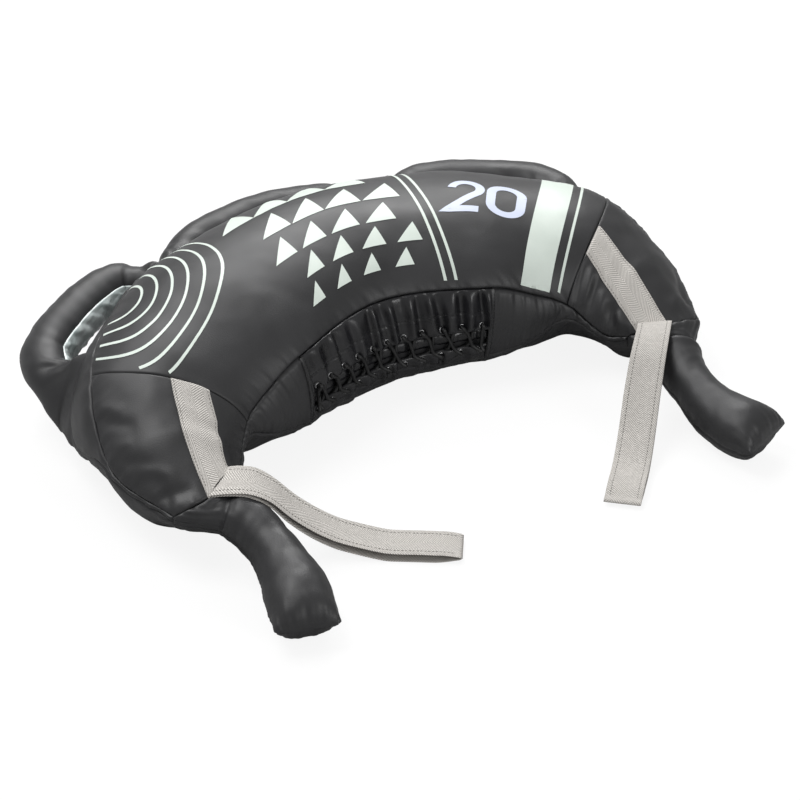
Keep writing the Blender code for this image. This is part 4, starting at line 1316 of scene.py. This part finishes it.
def webbing_material():
    material, tree, shader = new_material("grey_webbing", .78)

    def math_step(operation, a, b=None):
        return math_node(tree, operation, a, b)

    cloth = node(tree, "ShaderNodeUVMap", uv_map="cloth").outputs["UV"]
    split = node(tree, "ShaderNodeSeparateXYZ", (("Vector", cloth),)).outputs
    across = math_step("ABSOLUTE", math_step("SUBTRACT", split["X"], WEBBING_WIDTH / 2))
    slant = math_step("ADD", split["Y"], math_step("PINGPONG", across, HERRINGBONE_WIDTH))
    rib = math_step("SINE", math_step("MULTIPLY", slant, 2 * math.pi / RIB_PITCH))
    yarn = math_step("SINE", math_step("MULTIPLY", split["X"], 2 * math.pi / YARN_PITCH))
    weave = math_step("ADD", rib, math_step("MULTIPLY", yarn, .35))
    blotch = node(tree, "ShaderNodeTexNoise", Scale=55.0, Detail=4.0).outputs["Fac"]
    tone = math_step("ADD", math_step("MULTIPLY", weave, .22), math_step("MULTIPLY", blotch, .3))
    ramp(tree, tone, ((0, (.31, .295, .275)), (.40, (.71, .68, .64))), shader.inputs["Base Color"])
    add_bump(tree, shader, weave, .5, .0005)
    return material


WEB = webbing_material()
WEB_THREAD = woven_cord("webbing_thread", (.20, .19, .175), .8, .002)
# The shares of the end panel between which a run is sewn, at five places along the bag
RUN_PLACES = (.307, .343, .375, .410, .445)
RUN_EDGES = {
    "left": ((.290, .242, .221, .203, .190), (.542, .517, .500, .510, .603)),
    "right": ((.310, .248, .202, .154, .105), (.563, .507, .468, .443, .463)),
}
# How far short of the root seam a run stops, on its inner and its outer edge
RUN_SHORT = {"left": (.0140, .0004), "right": (.0025, .0008)}
RUN_STEPS = 90
EDGE_TUCK = -0.0010


def run_share(name, at, u):
    """Share of the end panel's width at a place along the run, with u from 0 to 1 across it."""
    low, high = (smooth_value(RUN_PLACES, row, abs(at)) for row in RUN_EDGES[name])
    return low + (high - low) * u


def run_end(name, u):
    """Where the run stops: on the left it is folded over aslant."""
    inner, outer = RUN_SHORT[name]
    return ROOT - inner - (outer - inner) * u


def sewn_place(name, at, u):
    """A place on the end panel under the run, held up where a crease falls away below it."""
    share = run_share(name, at, u)
    point, out = skin_place(f"{name}_end_panel", at, share)
    wall = on_wall("top", at, share)
    return wall + out * max((point - wall).dot(out), SKIN * .6), out


def upright_normals(points):
    out = normals_of(points)
    return out if np.sum(out[..., 2]) >= 0 else -out


def make_run(name, side, buckle):
    widths = [0, .004, .02, *np.linspace(.06, .94, 15), .98, .996, 1]
    start = PRINT_END - EDGE_TUCK
    rows = []
    for i in range(RUN_STEPS):
        share = i / (RUN_STEPS - 1)
        row = []
        for u in widths:
            point, out = sewn_place(name, side * (start + (run_end(name, u) - start) * share), u)
            lift = EDGE_TUCK
            if i and .003 < u < .997:
                lift = WEBBING + .0004 + buckle * math.exp(-((share - .72) / .10) ** 2) * (1 - u) ** 2
                lift += .0007 * math.sin(share * 19 + u * 2.2) * math.exp(-((share - .6) / .3) ** 2)
            row.append(point + out * lift)
        rows.append(row)
    lengths = distances([row[len(row) // 2] for row in rows])
    uv = [[(u * WEBBING_WIDTH, run) for u in widths] for run in lengths]
    grid = np.array(rows, float)
    data = face_outward(mesh_from_grid(f"{name}_run", grid, uv=uv))
    add_piece(f"{name}_run_webbing", data, "bag", WEB, (f"{name}_strap_run",))
    out = upright_normals(grid)
    lines = [stitch_line(grid[2:-2, j], out[2:-2, j]) for j in (3, 17)]
    add_stitches(f"{name}_run_stitches", lines, "bag", WEB_THREAD)


make_run("left", -1, .0018)
make_run("right", 1, 0)

# %% [markdown]
# A loop is a closed band: out along the floor and back on top of itself. Near the fold its rows
# are sheared, so that the band starts on the same slanting line where the sewn run ends.

# %% Strap loops
LOOP_LENGTH = 0.252
LOOP_OPENING = 0.0075
FOLD_HEIGHT = BODY_HEIGHT * .674
# The line that each loop is folded on: place, share of the end panel and height over it, inner
# end first
FOLD_LINES = {"left": ((.4265, .190, .0014), (.4440, .605, .0010)),
              "right": ((.4385, .145, .0060), (.4440, .530, .0020))}
LOOP_STEPS = 110
SHEAR_FADE = {"left": 0.060, "right": 0.115}
# How far a loop bends aside in plan
LOOP_SWAY = {"left": -.001, "right": .003}


def loop_outline(rows):
    """The band's middle line in side view, out on top and back below, as distance and height."""
    line = curve_through([Vector((x * LOOP_LENGTH, y * FOLD_HEIGHT, 0)) for x, y, _ in rows])
    upper, lower = [], []
    for i in range(1, LOOP_STEPS):
        share = i / LOOP_STEPS
        way = direction(line, share)
        half = (WEBBING + .0006 + max(column(rows, share, 2) * LOOP_OPENING, 0)) / 2
        out = Vector((-way.y, way.x, 0)) * half
        upper.append(line(share) + out)
        lower.append(line(share) - out)
    path = [line(0)] + upper + [line(1)] + lower[::-1]
    return [Vector((p.x, max(p.y, WEBBING / 2), 0)) for p in path]


def make_loop(name, side, fold_shares, turn, rows):
    fold = Vector((side * fold_shares[0] * BODY_REACH, fold_shares[1] * BODY_DEPTH, FOLD_HEIGHT)) + SHIFT
    ahead = Vector((math.cos(turn), math.sin(turn), 0))
    across = UP.cross(ahead)
    outline = loop_outline(rows)
    count = len(outline)
    half = WEBBING_WIDTH / 2
    widths = [half * w for w in (-1, -.992, -.96, *np.linspace(-.88, .88, 13), .96, .992, 1)]
    ends = [skin_place(f"{name}_end_panel", side * at, share)[0] + UP * height
            for at, share, height in FOLD_LINES[name]]
    # Which end of the run's last line each edge of the band starts from
    if (ends[1] - ends[0]).dot(across) < 0:
        ends.reverse()

    def band_point(i, w, offset):
        """A place on one face of the band, sheared near the fold."""
        way = (outline[(i + 1) % count] - outline[i - 1]).normalized()
        flat = outline[i] + Vector((-way.y, way.x, 0)) * (offset * (1 if abs(w) < half * .99 else .4))
        start = fold + across * w
        place = start + ahead * flat.x
        place.z = max(flat.y, 0)
        fade = 1 - float(smoothstep(flat.x, 0, SHEAR_FADE[name]))
        curl = .0012 * math.sin(flat.x * 60 + side) * (w / half) ** 2 * (1 - fade)
        sway = LOOP_SWAY[name] * math.sin(math.pi * min(flat.x / LOOP_LENGTH, 1))
        shear = (ends[0].lerp(ends[1], (w + half) / (2 * half)) - start) * fade
        return place + shear + UP * max(curl, 0) + across * sway

    outer, inner = ([[band_point(i, w, offset) for w in widths] for i in range(count)]
                    for offset in (WEBBING / 2, -WEBBING / 2))
    # One ring of points goes round the webbing's section at each place of the outline
    rings = [outer[i % count] + inner[i % count][::-1] for i in range(count + 1)]
    uv = [[(w + half, run) for w in widths + widths[::-1]] for run in distances(outline + outline[:1])]
    data = mesh_from_grid(f"{name}_loop", rings, closed=True, uv=uv)
    band = add_piece(f"{name}_loop_webbing", face_outward(data, weld=.00002), None, WEB,
                     (f"{name}_strap_loop",))
    top = np.array(outer[2:LOOP_STEPS - 1], float)
    out = upright_normals(top)
    lines = [stitch_line(top[:, j], out[:, j]) for j in (4, len(widths) - 5)]
    thread = add_stitches(f"{name}_loop_stitches", lines, None, WEB_THREAD)
    for piece in (band, thread):
        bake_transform(piece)
    print(name, "loop:", count, "x", len(widths), "points")


# Distance, height and opening between the two layers, along each loop
LEFT_LOOP_SHARES = ((0, 1, 0), (.06, 1.01, .05), (.13, .96, .2), (.21, .80, .4), (.31, .53, .6),
                    (.42, .31, .8), (.54, .16, .9), (.68, .070, 1), (.84, .064, 1), (.93, .062, .85),
                    (1, .06, 0))
RIGHT_LOOP_SHARES = ((0, 1, 0), (.06, 1.02, .05), (.14, 1, .1), (.24, .89, .2), (.35, .66, .4),
                     (.46, .42, .7), (.58, .21, .9), (.70, .078, 1), (.83, .064, 1),
                     (.91, .062, .85), (.965, .06, 0))
make_loop("left", -1, (.766, -.135), math.radians(-35.5), LEFT_LOOP_SHARES)
make_loop("right", 1, (.766, -.1275), math.radians(-133.2), RIGHT_LOOP_SHARES)

# %% [markdown]
# The print is a plain geometric design in mint and pale lavender ink: ripples on the left, rows of
# triangles in the middle, a broad band with thin lines on the right, and a plain number for the
# weight. Ink is a film, so each shape is a thin patch on the skin. Shapes are given in metres round
# a centre on the panel, and the crescent's stretch along its outer side is taken out.

# %% Print helpers
INK_LIFT = 0.00045
PANEL = "top_print_panel"
# Ink keeps off the panel's seams: least and greatest share of its width
INK_SHARES = (.017, .983)
INK_END = PRINT_END - .0035
# The print is measured between two sections this far to either side
NEARBY = 0.005


def ink_material(name, pale, deep):
    material, tree, shader = new_material(name, .46)
    grain = node(tree, "ShaderNodeGroup", node_tree=GRAIN)
    ramp(tree, grain.outputs["Tone"], ((.3, deep), (.7, pale)), shader.inputs["Base Color"])
    add_bump(tree, shader, grain.outputs["Height"], .16)
    return material


MINT = ink_material("mint_ink", (.61, .67, .62), (.54, .60, .55))
LAVENDER = ink_material("lavender_ink", (.53, .575, .71), (.48, .525, .65))


def panel_map(centre):
    """Turns metres round a centre on the panel into a place along it and a share of its width."""
    shares = np.linspace(0, 1, 11)
    width = distances(wall_row("top", centre[0], shares))[-1]
    low, high = (wall_row("top", centre[0] + step, shares) for step in (-NEARBY, NEARBY))
    stretch = [(b - a).length / (2 * NEARBY) for a, b in zip(low, high)]

    def place(p):
        share = centre[1] + p.y / width
        return centre[0] + p.x / float(np.interp(share, shares, stretch)), share

    return place


def ink_patch(grid):
    """Keeps a grid of places on the panel and puts it on the skin."""
    points = []
    for row in grid:
        line = []
        for at, share in row:
            at = min(max(at, -INK_END), INK_END)
            point, out = skin_place(PANEL, at, min(max(share, INK_SHARES[0]), INK_SHARES[1]))
            line.append(point + out * INK_LIFT)
        points.append(line)
    return np.array(points, float)


def add_ink(name, patches, material):
    """Joins patches into one piece whose faces all look out."""
    data = mesh_from_grids(name, patches)
    mesh = bmesh.new()
    mesh.from_mesh(data)
    bmesh.ops.remove_doubles(mesh, verts=mesh.verts, dist=.00005)
    bmesh.ops.dissolve_degenerate(mesh, edges=mesh.edges, dist=.00005)
    for face in mesh.faces:
        face.normal_update()
        if face.normal.dot(face.calc_center_median() - section_middle(0)) < 0:
            face.normal_flip()
    mesh.to_mesh(data)
    mesh.free()
    data.shade_smooth()
    return add_piece(name, data, "bag", material)


def flat_shape(centre, corners, step=.004):
    """A patch with four corners, in metres from a centre given as at and share."""
    place = panel_map(centre)
    a, b, c, d = (Vector((*corner, 0)) for corner in corners)
    rows = max(round(max((d - a).length, (c - b).length) / step), 2)
    cols = max(round(max((b - a).length, (c - d).length) / step), 2)
    return ink_patch([[place(a.lerp(d, i / rows).lerp(b.lerp(c, i / rows), j / cols))
                       for j in range(cols + 1)] for i in range(rows + 1)])


def section_slant(centre):
    """Angle between a section and the square direction across the bag, at a place on the panel."""
    at, share = centre
    low, high = (on_wall("top", at + step, share) for step in (-NEARBY, NEARBY))
    inner, outer = wall_row("top", at, (share - .03, share + .03))
    return math.asin((outer - inner).normalized().dot((high - low).normalized()))


def stroke(centre, line, width, cuts=3, step=.003, slant=0.0):
    """A line of constant width through points in metres from a centre."""
    place = panel_map(centre)
    points = [Vector((*p, 0)) for p in line]
    run = distances(points)
    count = max(round(run[-1] / step), 2)
    grid = []
    for s in sorted(set([run[-1] * i / count for i in range(count + 1)] + run)):
        k = min(max(int(np.searchsorted(run, s)) - 1, 0), len(run) - 2)
        p = points[k].lerp(points[k + 1], (s - run[k]) / max(run[k + 1] - run[k], 1e-9))
        ways = [(points[k + 1] - points[k]).normalized()]
        if s in run[1:-1]:
            ways.append((points[k + 2] - points[k + 1]).normalized())
        way = sum(ways, Vector()).normalized()
        side = Vector((-way.y, way.x, 0)) / max(way.dot(ways[0]), .5)
        row = []
        for c in range(cuts):
            q = p + side * (width * (c / (cuts - 1) - .5))
            row.append(place(Vector((q.x / math.cos(slant), q.y - q.x * math.tan(slant), 0))))
        if all(INK_SHARES[0] <= share <= INK_SHARES[1] and abs(at) < INK_END + .0005
               for at, share in row):
            grid.append(row)
    return ink_patch(grid)


def arc(radius, start, end, steps=40):
    turns = [math.radians(start + (end - start) * i / steps) for i in range(steps + 1)]
    return [(radius * math.cos(t), radius * math.sin(t)) for t in turns]


# %% The printed design
LINE_WIDTH = 0.0034
RIPPLE_CENTRE = (-.225, 1.0)
RIPPLE_RADII = (.036, .056, .076, .096, .116, .136)
RIPPLE_WIDTH = 0.0036
ripples = [stroke(RIPPLE_CENTRE, arc(radius, 183, 357), RIPPLE_WIDTH) for radius in RIPPLE_RADII]
add_ink("ripple_lines", ripples, MINT)

# Rows of triangles, larger towards the outer seam: row's share, size and first place along the bag
TRIANGLE_ROWS = ((.82, .050, -.087), (.60, .044, -.067), (.41, .036, -.087), (.26, .029, -.067),
                 (.135, .022, -.087))
TRIANGLE_PITCH = .046
triangles = []
for share, size, first in TRIANGLE_ROWS:
    half = size / 2
    corners = ((-half, -half), (half, -half), (half * .98, half), (half, half))
    triangles += [flat_shape((first + k * TRIANGLE_PITCH, share), corners) for k in range(4)]
add_ink("triangle_rows", triangles, MINT)

BAND_CENTRE = (.258, .5)
LINES_CENTRE = (.108, .5)
band = [flat_shape(BAND_CENTRE, ((-.032, -.118), (.004, -.118), (.034, .125), (-.004, .125)))]
for centre, foot, top in ((BAND_CENTRE, .014, .046), (LINES_CENTRE, -.012, .008), (LINES_CENTRE, 0, .020)):
    band.append(stroke(centre, ((foot, -.130), (top, .130)), LINE_WIDTH))
add_ink("slanted_band", band, MINT)

NUMBER_PLACE = (.1885, .50)
NUMBER_TURN = math.radians(-17)
DIGIT_HEIGHT = 0.060
DIGIT_WIDTH = 0.034
DIGIT_STROKE = 0.0105
DIGIT_SHIFT = 0.0235
BEND = (DIGIT_HEIGHT - DIGIT_WIDTH) / 2


def digit_two():
    """A plain 2: a round top, a slanting neck and a flat foot."""
    round_top = [(x, y + BEND) for x, y in arc(DIGIT_WIDTH / 2, 170, -35, 18)]
    return round_top + [(-DIGIT_WIDTH / 2, -DIGIT_HEIGHT / 2), (DIGIT_WIDTH / 2, -DIGIT_HEIGHT / 2)]


def digit_zero():
    """A plain 0: two round ends and two straight sides."""
    top = [(x, y + BEND) for x, y in arc(DIGIT_WIDTH / 2, 0, 180, 16)]
    foot = [(x, y - BEND) for x, y in arc(DIGIT_WIDTH / 2, 180, 360, 16)]
    return top + foot + top[:1]


def turned(line, shift):
    """Shifts a digit, and turns it so that it reads level for someone who stands by the left horn."""
    c, s = math.cos(NUMBER_TURN), math.sin(NUMBER_TURN)
    return [((x + shift) * c - y * s, (x + shift) * s + y * c) for x, y in line]


# Sections cross the panel at a slant here, which is taken out so that the digits keep their shape
slant = section_slant(NUMBER_PLACE)
digits = [stroke(NUMBER_PLACE, turned(line, shift), DIGIT_STROKE, cuts=5, step=.002, slant=slant)
          for line, shift in ((digit_two(), -DIGIT_SHIFT), (digit_zero(), DIGIT_SHIFT))]
add_ink("weight_number", digits, LAVENDER)
print("print has", len(ripples) + len(triangles) + len(band) + len(digits), "shapes")

# %% [markdown]
# The stage is a plain white floor with soft studio light. The camera sees the floor and the
# backdrop as white, but they light the bag only at a plain level: Light Path tells the two apart.
# Three large area lamps give the leatherette its long soft highlights.

# %% Floor, world and lamps
FLOOR_SIZE = 12.0
BACKDROP_WHITE = 1.0
ROOM_LIGHT = .46
FLOOR_GREY = (.42, .42, .42)
FLOOR_GLOW = 1.22
GLOW_SHARE = .72


def make_world():
    """A white backdrop for the camera, and a plainer light for the bag."""
    world = bpy.data.worlds.new("studio")
    bpy.context.scene.world = world
    world.use_nodes = True
    tree = world.node_tree
    background = tree.nodes["Background"]
    background.inputs["Color"].default_value = (1, 1, 1, 1)
    rays = node(tree, "ShaderNodeLightPath").outputs
    seen = math_node(tree, "MAXIMUM", rays["Is Camera Ray"], rays["Is Transmission Ray"])
    level = math_node(tree, "MULTIPLY", seen, BACKDROP_WHITE - ROOM_LIGHT)
    tree.links.new(math_node(tree, "ADD", level, ROOM_LIGHT), background.inputs["Strength"])


def make_floor():
    mesh = bmesh.new()
    bmesh.ops.create_grid(mesh, x_segments=2, y_segments=2, size=FLOOR_SIZE / 2)
    data = bpy.data.meshes.new("floor")
    mesh.to_mesh(data)
    mesh.free()
    floor = bpy.data.objects.new("floor", data)
    bpy.context.scene.collection.objects.link(floor)
    material, tree, shader = new_material("floor_white", .9)
    shader.inputs["Base Color"].default_value = (*FLOOR_GREY, 1)
    glow = node(tree, "ShaderNodeEmission", Strength=FLOOR_GLOW)
    rays = node(tree, "ShaderNodeLightPath").outputs
    share = math_node(tree, "MULTIPLY", rays["Is Camera Ray"], GLOW_SHARE)
    white = node(tree, "ShaderNodeMixShader", (("Fac", share),))
    tree.links.new(shader.outputs["BSDF"], white.inputs[1])
    tree.links.new(glow.outputs["Emission"], white.inputs[2])
    tree.links.new(white.outputs["Shader"], tree.nodes["Material Output"].inputs["Surface"])
    data.materials.append(material)


def add_lamp(name, place, target, size, power):
    data = bpy.data.lights.new(name, "AREA")
    data.shape = "RECTANGLE"
    data.size, data.size_y = size
    data.energy = power
    lamp = bpy.data.objects.new(name, data)
    lamp.location = place
    lamp.rotation_euler = (Vector(target) - Vector(place)).to_track_quat("-Z", "Y").to_euler()
    bpy.context.scene.collection.objects.link(lamp)


make_world()
make_floor()
add_lamp("key_softbox", (-.8, .7, 2.1), (0, 0, 0), (1.3, 1.3), 36)
add_lamp("rim_softbox", (.9, 1.5, 1.5), (0, .1, .1), (1.6, .8), 36)
add_lamp("low_softbox", (.5, -2.0, 1.0), (.05, -.05, .06), (1.2, .5), 12)
bpy.context.scene.view_settings.view_transform = "Standard"
print("stage is set")
